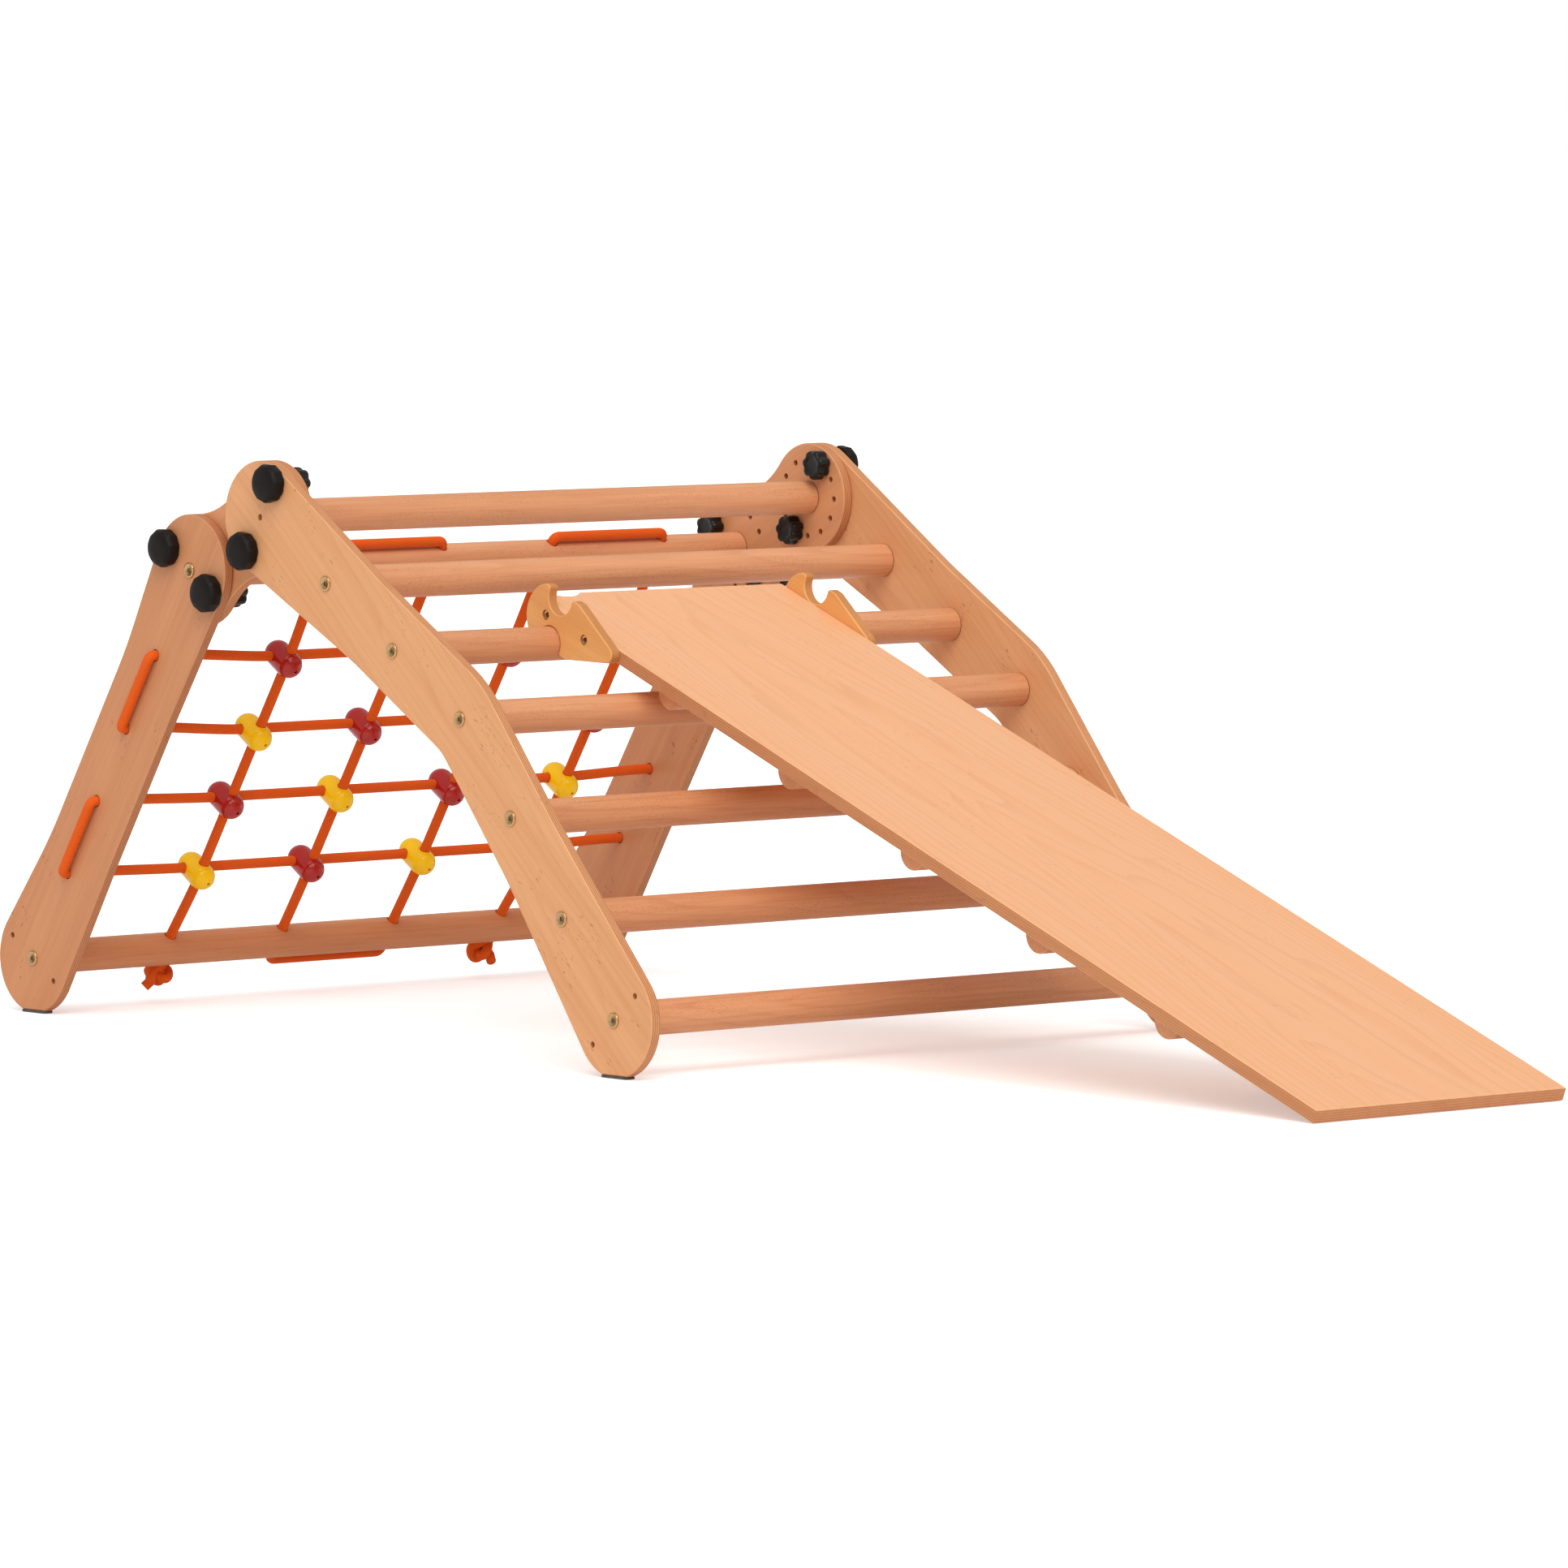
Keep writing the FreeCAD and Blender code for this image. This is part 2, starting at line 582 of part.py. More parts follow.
def uprightRope():
    """One rope laced up and down through the two rear rungs."""
    lift = rungRadius + dim("stitch_lift")
    clear = rungRadius + 1
    straight = dim("connector_diameter") / 2 + 1
    reach = dim("rear_reach")
    firstRow = number(rowPlace(0)) + rowDrop[0]
    lastRow = number(rowPlace(rowCount - 1)) + rowDrop[-1]
    # Each leg swings aside in two gentle arcs between a rung and the nearest connector.
    lowSpan = (reach - clear) - (lastRow + straight)
    highSpan = (firstRow - straight) - clear
    lowTurn = 0.24 * lowSpan
    highTurn = 0.24 * highSpan
    tight = dim("stitch_bend")
    points = []
    bends = []
    for column in range(columnCount):
        x = columnX(column)
        held = x + columnAside[column]
        leg = [
            netPoint(x, reach + lift, 0), netPoint(x, reach - clear - lowTurn, 0),
            netPoint(held, lastRow + straight + lowTurn, -dim("rope_cross")),
            netPoint(held, firstRow - straight - highTurn, -dim("rope_cross")),
            netPoint(x, clear + highTurn, 0), netPoint(x, -lift, 0),
        ]
        aside = hypot(dim("rope_cross"), columnAside[column])
        lowBend = gentleBend(lowTurn, aside, lowSpan)
        highBend = gentleBend(highTurn, aside, highSpan)
        radii = [tight, lowBend, lowBend, highBend, highBend, tight]
        points += leg if column % 2 == 0 else leg[::-1]
        bends += radii if column % 2 == 0 else radii[::-1]
    points[0] = netPoint(columnX(0), reach + rungRadius + 1, 0)
    points[-1] = netPoint(columnX(columnCount - 1), reach + rungRadius + 1, 0)
    return tubeAlong(points, bends[1:-1], "net_upright_rope")


def crossRope():
    """One rope laced to and fro through the rear side panels."""
    out = panelOuter + dim("stitch_lift")
    inner = panelInner - 1
    straight = dim("connector_diameter") / 2 + 1
    last = columnCount - 1
    rightEnd = columnX(last) + columnAside[last] + straight
    leftEnd = columnX(0) + columnAside[0] - straight
    rightTurn = 0.24 * (inner - rightEnd)
    leftTurn = 0.24 * (inner + leftEnd)
    tight = dim("stitch_bend")
    points = []
    bends = []
    for row in range(rowCount):
        along = number(rowPlace(row))
        held = along + rowDrop[row]
        run = [
            netPoint(out, along, 0), netPoint(inner - rightTurn, along, 0),
            netPoint(rightEnd + rightTurn, held, 0), netPoint(leftEnd - leftTurn, held, 0),
            netPoint(leftTurn - inner, along, 0), netPoint(-out, along, 0),
        ]
        rightBend = gentleBend(rightTurn, rowDrop[row], inner - rightEnd)
        leftBend = gentleBend(leftTurn, rowDrop[row], inner + leftEnd)
        radii = [tight, rightBend, rightBend, leftBend, leftBend, tight]
        points += run if row % 2 == 0 else run[::-1]
        bends += radii if row % 2 == 0 else radii[::-1]
    points[0] = netPoint(panelOuter + 1, number(rowPlace(0)), 0)
    points[-1] = netPoint(panelOuter + 1, number(rowPlace(rowCount - 1)), 0)
    return tubeAlong(points, bends[1:-1], "net_cross_rope")


def knot(base, along, away, tail):
    """Stopper knot: a squat ball with a flat side towards the wood, and the rope's short tail."""
    ball = doc.addObject("Part::Ellipsoid", "Knot")
    ball.setExpression("Radius1", "Dims.knot_height / 2 + 1")
    ball.setExpression("Radius2", "Dims.knot_diameter / 2")
    ball.setExpression("Radius3", "Dims.knot_diameter / 2")
    middle = base + away * (dim("knot_height") / 2 - 1)
    ball.Placement = facing(middle, along, away)
    trim = cylinder("2 * Dims.knot_diameter", "Dims.knot_height", facing(base, along, away * -1))
    if not tail:
        return cut(ball, [trim])
    end = cylinder("Dims.rope_diameter", "Dims.knot_height / 2 + Dims.knot_tail", facing(middle, along, away))
    return cut(fuse([ball, end]), [trim])


def connector(row, column):
    """Capsule square to the net that holds one crossing; the cross rope passes on its far side."""
    half = dim("rope_cross") / 2
    radius = "Dims.connector_diameter / 2"
    centre = crossing(row, column, -half)
    straight = (dim("connector_length") - dim("connector_diameter")) / 2
    parts = [cylinder("Dims.connector_diameter", "Dims.connector_length - Dims.connector_diameter",
                      facing(centre - rearOut * straight, across, rearOut))]
    for side in (1, -1):
        cap = doc.addObject("Part::Sphere", "Cap")
        cap.setExpression("Radius", radius)
        cap.Placement = FreeCAD.Placement(centre + rearOut * (side * straight), FreeCAD.Rotation())
        parts.append(cap)
    hole = "Dims.rope_diameter + 2 * Dims.connector_gap"
    through = "Dims.connector_diameter + 2"
    reach = dim("connector_diameter") / 2 + 1
    tip = crossing(row, column, -half - dim("connector_length") / 2)
    tools = [
        cylinder(hole, through, facing(centre + rearOut * half - across * reach, rearOut, across)),
        cylinder(hole, through, facing(centre - rearOut * half - rearDown * reach, across, rearDown)),
        cylinder("Dims.connector_tip", "Dims.connector_tip", facing(tip, across, rearOut)),
    ]
    return cut(fuse(parts), tools)


# ---- slide ----

def slidePoint(x, up, out):
    """Point measured across, up the slide and square to it from the third rung's axis."""
    return slideAxis + across * x + slideUp * up + slideOut * out


def slideBoard():
    """Board with eased edges and one shallow scoop near the left end of its upper edge."""
    body = doc.addObject("PartDesign::Body", "Board")
    half = "Dims.slide_width / 2"
    foot = "Dims.slide_overhang - Dims.slide_length"
    top = "Dims.slide_overhang"
    sketch = newSketch(body)
    polygon(sketch, [(foot, f"-{half}"), (top, f"-{half}"), (top, half), (foot, half)])
    pad(body, sketch, "Dims.slide_thickness")
    sketch = newSketch(body)
    circles(sketch, [(f"{top} + Dims.scoop_radius - Dims.scoop_depth", f"{half} - Dims.scoop_inset",
                      "2 * Dims.scoop_radius")])
    pocketThrough(body, sketch)
    roundEdges(body, "Dims.edge_round", lambda each: onFace(each, (0, dim("slide_thickness"))))
    body.Placement = facing(slideAxis + slideOut * slideUnder, slideUp, slideOut)
    pilots = []
    for side in pieceSides.values():
        for up in hookScrewPlaces:
            mouth = slidePoint(side * (dim("slide_width") / 2 + 1), up, slideMiddle)
            pilots.append(cylinder("Dims.hook_screw + 2 * Dims.running_gap", "Dims.hook_screw_reach",
                                   facing(mouth, slideUp, across * -side)))
    keep(cut(body, pilots), "slide_board")


def hookPlate(label, side):
    """Hook the same both ways up: lobe, a rung notch above and below, two horns and a tail."""
    notch = rungRadius + dim("notch_gap")
    level = slideMiddle
    lobe = dim("hook_lobe")
    shift = dim("hook_shift")
    height = dim("hook_height")
    horn = -dim("hook_horn")
    tail = -dim("hook_tail") + dim("tail_radius")
    tailRadius = dim("tail_radius")
    up = FreeCAD.Vector(0, 0, 1)

    def half(sign):
        """Upper or lower half of the outline, from the lobe to the tail."""
        lobeTip = FreeCAD.Vector(shift + (lobe ** 2 - height ** 2) ** 0.5, sign * height, 0)
        lip = FreeCAD.Vector(notch, sign * height, 0)
        wallUp = FreeCAD.Vector(notch, sign * level, 0)
        wallDown = FreeCAD.Vector(-notch, sign * level, 0)
        bottom = FreeCAD.Vector(0, sign * (level - notch), 0)
        hornIn = FreeCAD.Vector(-notch, sign * height, 0)
        hornOut = FreeCAD.Vector(horn, sign * height, 0)
        slope = atan2(height, tail - horn)
        reach = hypot(height, tail - horn)
        swing = acos(tailRadius / reach)
        angle = atan2(height, horn - tail) + swing
        touch = FreeCAD.Vector(tail + tailRadius * cos(angle), sign * tailRadius * sin(angle), 0)
        return [
            Part.LineSegment(lobeTip, lip) if (lobeTip - lip).Length > 0.1 else None,
            Part.LineSegment(lip, wallUp),
            Part.Arc(wallUp, bottom, wallDown),
            Part.LineSegment(wallDown, hornIn),
            Part.LineSegment(hornIn, hornOut),
            Part.LineSegment(hornOut, touch),
        ], lobeTip, touch

    upper, upperTip, upperTouch = half(1)
    lower, lowerTip, lowerTouch = half(-1)
    outline = [item for item in upper + lower if item]
    outline.append(Part.Arc(upperTip, FreeCAD.Vector(shift + lobe, 0, 0), lowerTip))
    outline.append(Part.Arc(upperTouch, FreeCAD.Vector(tail - tailRadius, 0, 0), lowerTouch))
    wire = Part.Wire(Part.__sortEdges__([item.toShape() for item in outline]))
    plate = Part.Face(wire).extrude(up * dim("hook_thickness"))
    sharp = [each for each in plate.Edges if abs(each.BoundBox.ZLength - dim("hook_thickness")) < 1e-4
             and abs(abs(each.BoundBox.YMin) - height) < 1e-3]
    plate = plate.makeFillet(3, sharp)
    rims = [each for each in plate.Edges if onFace(each, (0, dim("hook_thickness")))]
    plate = plate.makeFillet(1.5, rims)
    outerFace = dim("hook_thickness") if side > 0 else 0
    for along in hookScrewPlaces:
        start = FreeCAD.Vector(along, 0, -1)
        mouth = FreeCAD.Vector(along, 0, outerFace)
        bore = dim("hook_screw") / 2 + dim("running_gap")
        sink = dim("hook_head") / 2 + dim("running_gap")
        plate = plate.cut(Part.makeCylinder(bore, dim("hook_thickness") + 2, start, up))
        plate = plate.cut(Part.makeCylinder(sink, dim("hook_sink"), mouth, up * -side))
    feature = doc.addObject("Part::Feature", "Hook")
    feature.Shape = plate
    inner = dim("slide_width") / 2
    near = inner if side > 0 else -inner - dim("hook_thickness")
    feature.Placement = facing(slidePoint(near, 0, slideMiddle), slideUp, across)
    return keep(feature, label)


def hookScrew(side, up):
    """Screw sunk in a hook plate, with a hexagon socket, into the board's edge."""
    inward = across * -side
    seat = slidePoint(side * (dim("slide_width") / 2 + dim("hook_thickness") - dim("hook_sink")), up, slideMiddle)
    head = cylinder("Dims.hook_head", "Dims.hook_sink - 2", facing(seat, slideUp, across * side))
    shank = cylinder("Dims.hook_screw", "Dims.hook_screw_reach", facing(seat, slideUp, inward))
    top = seat + across * (side * (dim("hook_sink") - 2))
    socket = hexagon("Dims.hook_socket", "Dims.hook_sink - 3", facing(top, slideUp, inward))
    return cut(fuse([head, shank]), [socket])


def cleat(label, index):
    """Half-round batten across the underside of the board."""
    body = newBody(label)
    radius = "Dims.cleat_radius"
    sketch = newSketch(body)
    ring = Part.Circle(FreeCAD.Vector(), FreeCAD.Vector(0, 0, 1), number(radius))
    flank = FreeCAD.Vector(number(radius), 0, 0)
    sketch.addGeometry(Part.ArcOfCircle(ring, pi, 2 * pi))
    sketch.addGeometry(Part.LineSegment(-flank, flank))
    sketch.addConstraint(Sketcher.Constraint("Coincident", 0, 1, 1, 1))
    sketch.addConstraint(Sketcher.Constraint("Coincident", 0, 2, 1, 2))
    sketch.addConstraint(Sketcher.Constraint("Coincident", 0, 3, -1, 1))
    sketch.addConstraint(Sketcher.Constraint("PointOnObject", 0, 1, -1))
    size = sketch.addConstraint(Sketcher.Constraint("Radius", 0, number(radius)))
    sketch.setExpression(f"Constraints[{size}]", radius)
    pad(body, sketch, "Dims.slide_width - 2 * Dims.cleat_inset")
    half = dim("slide_width") / 2 - dim("cleat_inset")
    up = -dim("cleat_start") - index * dim("cleat_pitch")
    body.Placement = facing(slideAxis - across * half + slideUp * up + slideOut * slideUnder, slideUp, across)
    roundEdges(body, "1.5", lambda each: onFace(each, (0, 2 * half)) and each.Curve.TypeId == "Part::GeomCircle")


def footPad(axis, side):
    """Thin rubber pad under one foot."""
    chord = 2 * (dim("lobe_radius") ** 2 - dim("foot_drop") ** 2) ** 0.5
    feature = doc.addObject("Part::Box", "Pad")
    feature.setExpression("Length", "Dims.ply")
    feature.Width = chord
    feature.setExpression("Height", "Dims.pad_thickness")
    feature.Placement.Base = FreeCAD.Vector(panelInner if side > 0 else -panelOuter, axis.y - chord / 2, 0)
    return feature


# ---- build everything ----

innerHalf = "(Dims.frame_width / 2 - Dims.ply)"
plateHalf = "(Dims.frame_width / 2 - 2 * Dims.ply - Dims.plate_gap)"
looseHalf = "(Dims.frame_width / 2 - Dims.ply - Dims.plate_gap)"
looseTopHalf = "(Dims.frame_width / 2 - 2 * Dims.ply - 2 * Dims.plate_gap)"
insertBore = "Dims.insert_diameter + 2 * Dims.running_gap"

for name, side in pieceSides.items():
    frontPanel(f"front_side_panel_{name}", side)
    rearPanel(f"rear_side_panel_{name}", side)
    hingePlate(f"hinge_plate_{name}", side)

rung("top_rung", topAxis, plateHalf, "Dims.pivot_pin + 2 * Dims.running_gap", "Dims.pivot_reach")
screws = []
inserts = []
for index, axis in enumerate(frontAxes[1:], start=2):
    half = looseHalf if axis is slideAxis else innerHalf
    rung(f"front_rung_{index}", axis, half, insertBore, "Dims.screw_reach")
    for side in pieceSides.values():
        screws.append(rungScrew(axis, side, "Dims.ply + Dims.screw_reach - 2"))
        inserts.append(insert(axis, side, half))
group(screws, "front_rung_screws")
group(inserts, "front_rung_inserts")

rung("rear_top_rung", rearTopAxis, looseTopHalf, insertBore, "Dims.screw_reach", True)
rung("rear_bottom_rung", rearBottomAxis, innerHalf, insertBore, "Dims.screw_reach", True)
screws = []
inserts = []
for axis, half, reach in ((rearTopAxis, looseTopHalf, "2 * Dims.ply + Dims.screw_reach - 2"),
                          (rearBottomAxis, innerHalf, "Dims.ply + Dims.screw_reach - 2")):
    for side in pieceSides.values():
        screws.append(rungScrew(axis, side, reach))
        inserts.append(insert(axis, side, half))
group(screws, "rear_rung_screws")
group(inserts, "rear_rung_inserts")

pins = []
for side in pieceSides.values():
    start = topAxis + across * (side * (panelOuter - dim("pivot_recess")))
    length = "2 * Dims.ply + Dims.plate_gap - Dims.pivot_recess + Dims.pivot_reach - 1"
    pins.append(cylinder("Dims.pivot_pin", length, facing(start, rearOut, across * -side)))
group(pins, "top_rung_pivot_pins")

group([footPad(frontAxes[6], side) for side in pieceSides.values()], "front_foot_pads")
group([footPad(rearBottomAxis, side) for side in pieceSides.values()], "rear_foot_pads")

frontSquare = FreeCAD.Vector(0, -sin(upperSlope), cos(upperSlope))
clampPlaces = {"front": (topAxis, frontSquare), "rear": (rearTopAxis, rearOut)}
for frame, (pivot, square) in clampPlaces.items():
    bolts = []
    for name, side in pieceSides.items():
        for level, sign in (("upper", 1), ("lower", -1)):
            axis = pivot + square * (sign * dim("index_radius"))
            outerBase = axis + across * (side * (panelOuter + dim("knob_gap")))
            innerBase = axis + across * (side * (plateInner - dim("knob_gap")))
            knob(f"{frame}_{level}_knob_{name}", outerBase, across * side, "Dims.knob_diameter",
                 "Dims.knob_height", "Dims.knob_scallops", "Dims.scallop_depth")
            knob(f"{frame}_{level}_star_nut_{name}", innerBase, across * -side, "Dims.star_diameter",
                 "Dims.star_height", "Dims.star_lobes", "Dims.star_depth")
            bolts.append(indexBolt(axis, side))
    group(bolts, f"{frame}_index_bolts")

uprightRope()
crossRope()
knots = []
for column in (0, columnCount - 1):
    base = netPoint(columnX(column), dim("rear_reach") + rungRadius + 1, 0)
    knots.append(knot(base, across, rearDown, True))
for row in (0, rowCount - 1):
    base = netPoint(panelOuter + 1, number(rowPlace(row)), 0)
    knots.append(knot(base, rearDown, across, False))
group(knots, "net_rope_knots")
for colour, parity in (("yellow", 1), ("red", 0)):
    picked = [connector(row, column) for row in range(rowCount) for column in range(columnCount)
              if (row + column) % 2 == parity]
    group(picked, f"net_connectors_{colour}")

slideBoard()
for name, side in pieceSides.items():
    hookPlate(f"slide_hook_plate_{name}", side)
group([hookScrew(side, up) for side in pieceSides.values() for up in hookScrewPlaces], "slide_hook_screws")
for index in range(cleatCount):
    cleat(f"slide_cleat_{index + 1}", index)

doc.recompute()

# ---- check and write ----

for item in doc.Objects:
    if "Invalid" in item.State or "Error" in item.State:
        raise RuntimeError(f"{item.Label} did not build: {item.State}")
for node in nodes:
    if node.Shape.isNull() or not node.Shape.isValid() or not node.Shape.Solids:
        raise RuntimeError(f"{node.Label} has no valid solid")
os.makedirs("parts", exist_ok=True)
for node in nodes:
    node.Shape.exportStep(f"parts/{node.Label}.step")
print(f"{len(nodes)} sub-parts, top rung at y {topAxis.y:.2f} z {topAxis.z:.2f}, "
      f"rear pivot y {rearTopAxis.y:.2f} z {rearTopAxis.z:.2f}, rear slope {degrees(rearSlope):.3f}, "
      f"slide axis y {slideAxis.y:.2f} z {slideAxis.z:.2f}, slide slope {degrees(slideSlope):.3f}")
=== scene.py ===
import json
from math import cos, hypot, pi, radians, sin, sqrt

import bmesh
import bpy
from mathutils import Matrix, Vector


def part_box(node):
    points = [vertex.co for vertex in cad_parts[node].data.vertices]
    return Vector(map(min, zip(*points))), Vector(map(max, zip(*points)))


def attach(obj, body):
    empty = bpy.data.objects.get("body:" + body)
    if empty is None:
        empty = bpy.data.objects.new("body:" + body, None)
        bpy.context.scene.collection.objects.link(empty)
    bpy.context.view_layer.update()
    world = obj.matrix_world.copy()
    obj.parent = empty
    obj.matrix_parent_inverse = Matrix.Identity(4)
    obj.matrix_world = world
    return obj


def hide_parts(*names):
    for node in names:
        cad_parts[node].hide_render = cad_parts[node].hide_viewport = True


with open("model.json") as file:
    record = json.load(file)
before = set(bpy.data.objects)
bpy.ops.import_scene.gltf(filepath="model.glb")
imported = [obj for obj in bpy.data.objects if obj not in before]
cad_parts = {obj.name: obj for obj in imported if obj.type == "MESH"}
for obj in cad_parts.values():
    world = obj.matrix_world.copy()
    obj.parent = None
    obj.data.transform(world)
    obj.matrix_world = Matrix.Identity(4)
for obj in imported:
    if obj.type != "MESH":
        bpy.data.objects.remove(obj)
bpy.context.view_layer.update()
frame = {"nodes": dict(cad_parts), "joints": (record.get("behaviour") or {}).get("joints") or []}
nodes = frame["nodes"]
joints = {joint["name"]: joint for joint in frame["joints"]}
print("stage: frame loaded", len(nodes), "nodes")


# places read from the frame
def middleOf(node):
    low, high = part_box(node)
    return (Vector(low) + Vector(high)) / 2


frontAxes = {number: middleOf(f"front_rung_{number}") for number in range(2, 8)}
frontAxes[1] = middleOf("top_rung")
rearTop = middleOf("rear_top_rung")
rearBottom = middleOf("rear_bottom_rung")
rungAcross = Vector((1, 0, 0))
upperDown = (frontAxes[4] - frontAxes[1]).normalized()
lowerDown = (frontAxes[7] - frontAxes[4]).normalized()
rearDown = (rearBottom - rearTop).normalized()
rearOut = Vector((0, -rearDown.z, rearDown.y))
plateAlong = (rearTop - frontAxes[1]).normalized()
slideOut = Vector(joints["slide_lift"]["axis"]) * -1
slideUp = Vector((0, slideOut.z, -slideOut.y))
slideAxis = frontAxes[3]


# an empty shader group with named sockets
def newGroup(name, inputs, outputs):
    group = bpy.data.node_groups.new(name, "ShaderNodeTree")
    for kind, direction, sockets in (("in", "INPUT", inputs), ("out", "OUTPUT", outputs)):
        for label, socketType, value in sockets:
            socket = group.interface.new_socket(name=label, in_out=direction, socket_type="NodeSocket" + socketType)
            if value is not None:
                socket.default_value = value
    entry = group.nodes.new("NodeGroupInput")
    leave = group.nodes.new("NodeGroupOutput")
    return group, entry, leave


def connect(tree, source, target):
    tree.links.new(source, target)


def setOrLink(tree, socket, value):
    if hasattr(value, "links") or hasattr(value, "is_output"):
        tree.links.new(value, socket)
    elif value is not None:
        socket.default_value = value


def calc(tree, operation, first, second=None, third=None, clamp=False):
    node = tree.nodes.new("ShaderNodeMath")
    node.operation = operation
    node.use_clamp = clamp
    for socket, value in zip(node.inputs, (first, second, third)):
        setOrLink(tree, socket, value)
    return node.outputs[0]


def vectorCalc(tree, operation, first, second=None):
    node = tree.nodes.new("ShaderNodeVectorMath")
    node.operation = operation
    for socket, value in zip(node.inputs, (first, second)):
        setOrLink(tree, socket, value)
    return node.outputs["Value"] if operation == "DOT_PRODUCT" else node.outputs[0]


def noise(tree, vector, scale, detail=2.0, rough=0.5):
    node = tree.nodes.new("ShaderNodeTexNoise")
    for label, value in (("Vector", vector), ("Scale", scale), ("Detail", detail), ("Roughness", rough)):
        setOrLink(tree, node.inputs[label], value)
    return node.outputs[0]


def remap(tree, value, low, high, outLow=0.0, outHigh=1.0):
    node = tree.nodes.new("ShaderNodeMapRange")
    node.interpolation_type = "SMOOTHSTEP"
    values = {"Value": value, "From Min": low, "From Max": high, "To Min": outLow, "To Max": outHigh}
    for label, item in values.items():
        setOrLink(tree, node.inputs[label], item)
    return node.outputs[0]


def blendColors(tree, factor, first, second, mode="MIX"):
    node = tree.nodes.new("ShaderNodeMix")
    node.data_type = "RGBA"
    node.blend_type = mode
    setOrLink(tree, node.inputs[0], factor)
    setOrLink(tree, node.inputs[6], first)
    setOrLink(tree, node.inputs[7], second)
    return node.outputs[2]


def stretched(tree, vector, factors):
    return vectorCalc(tree, "MULTIPLY", vector, factors)


grainMarks = {"fleck": (0.26, 0.085, 0.03, 1), "dash": (0.11, 0.035, 0.015, 1)}
# repeats in a metre along, across and through the grain
grainScales = {
    "warp": (1.7, 12, 12), "bands": (1.4, 38, 38), "streak": (11, 330, 330), "pores": (60, 1100, 1100),
    "fleck": (330, 1500, 1500), "fleckPatch": (7, 60, 60), "dash": (120, 600, 600), "dashPatch": (26, 34, 34),
}


# grain that runs along the first axis of the vector it is given, in metres
def buildWoodGrain():
    group, entry, leave = newGroup("woodGrain", [
        ("Vector", "Vector", None), ("Pale", "Color", (0.8, 0.5, 0.3, 1)), ("Deep", "Color", (0.6, 0.3, 0.15, 1)),
        ("Arches", "Float", 6.0), ("Spread", "Float", 380.0), ("Figure", "Float", 0.3), ("Bands", "Float", 0.3),
        ("Streak", "Float", 0.4), ("Fleck", "Float", 0.5), ("Dashes", "Float", 0.0)],
        [("Color", "Color", None), ("Height", "Float", None), ("Roughness", "Float", None)])
    out = entry.outputs
    place = out["Vector"]
    split = group.nodes.new("ShaderNodeSeparateXYZ")
    connect(group, place, split.inputs[0])

    def pattern(key, detail, rough=0.5):
        return noise(group, stretched(group, place, grainScales[key]), 1.0, detail, rough)

    # growth rings: bowed arches that wander a little, then broad bands, fine streaks and pores
    warp = pattern("warp", 2.0)
    square = calc(group, "POWER", calc(group, "ABSOLUTE", split.outputs[1]), 2.0)
    bowed = calc(group, "MULTIPLY", square, out["Spread"])
    climb = calc(group, "MULTIPLY_ADD", split.outputs[0], out["Arches"], bowed)
    rings = calc(group, "MULTIPLY_ADD", warp, 8.0, climb)
    figure = remap(group, calc(group, "FRACT", rings), 0.55, 1.0)
    figure = calc(group, "MULTIPLY", figure, remap(group, calc(group, "FRACT", rings), 1.0, 0.96))
    bands = pattern("bands", 2.0, 0.6)
    streak = pattern("streak", 3.0, 0.65)
    pores = pattern("pores", 1.0)
    fleckNoise = pattern("fleck", 0.0)
    fleckPatch = pattern("fleckPatch", 1.0)
    fleck = calc(group, "MULTIPLY", remap(group, fleckNoise, 0.60, 0.72), remap(group, fleckPatch, 0.42, 0.6, 0.1))
    dashNoise = pattern("dash", 0.0)
    dashPatch = pattern("dashPatch", 0.0)
    dash = calc(group, "MULTIPLY", remap(group, dashNoise, 0.715, 0.76), remap(group, dashPatch, 0.60, 0.68))
    total = calc(group, "MULTIPLY", figure, out["Figure"])
    total = calc(group, "MULTIPLY_ADD", remap(group, bands, 0.3, 0.7), out["Bands"], total)
    total = calc(group, "MULTIPLY_ADD", remap(group, streak, 0.35, 0.75), out["Streak"], total, clamp=True)
    color = blendColors(group, total, out["Pale"], out["Deep"])
    fleckMix = calc(group, "MULTIPLY", fleck, out["Fleck"])
    color = blendColors(group, fleckMix, color, grainMarks["fleck"])
    dashMix = calc(group, "MULTIPLY", dash, out["Dashes"])
    color = blendColors(group, dashMix, color, grainMarks["dash"])
    height = calc(group, "MULTIPLY_ADD", pores, 0.4, calc(group, "MULTIPLY", streak, 0.4))
    height = calc(group, "SUBTRACT", height, calc(group, "MULTIPLY", fleckMix, 0.5))
    rough = remap(group, bands, 0.3, 0.7, 0.42, 0.54)
    connect(group, color, leave.inputs["Color"])
    connect(group, height, leave.inputs["Height"])
    connect(group, rough, leave.inputs["Roughness"])
    return group


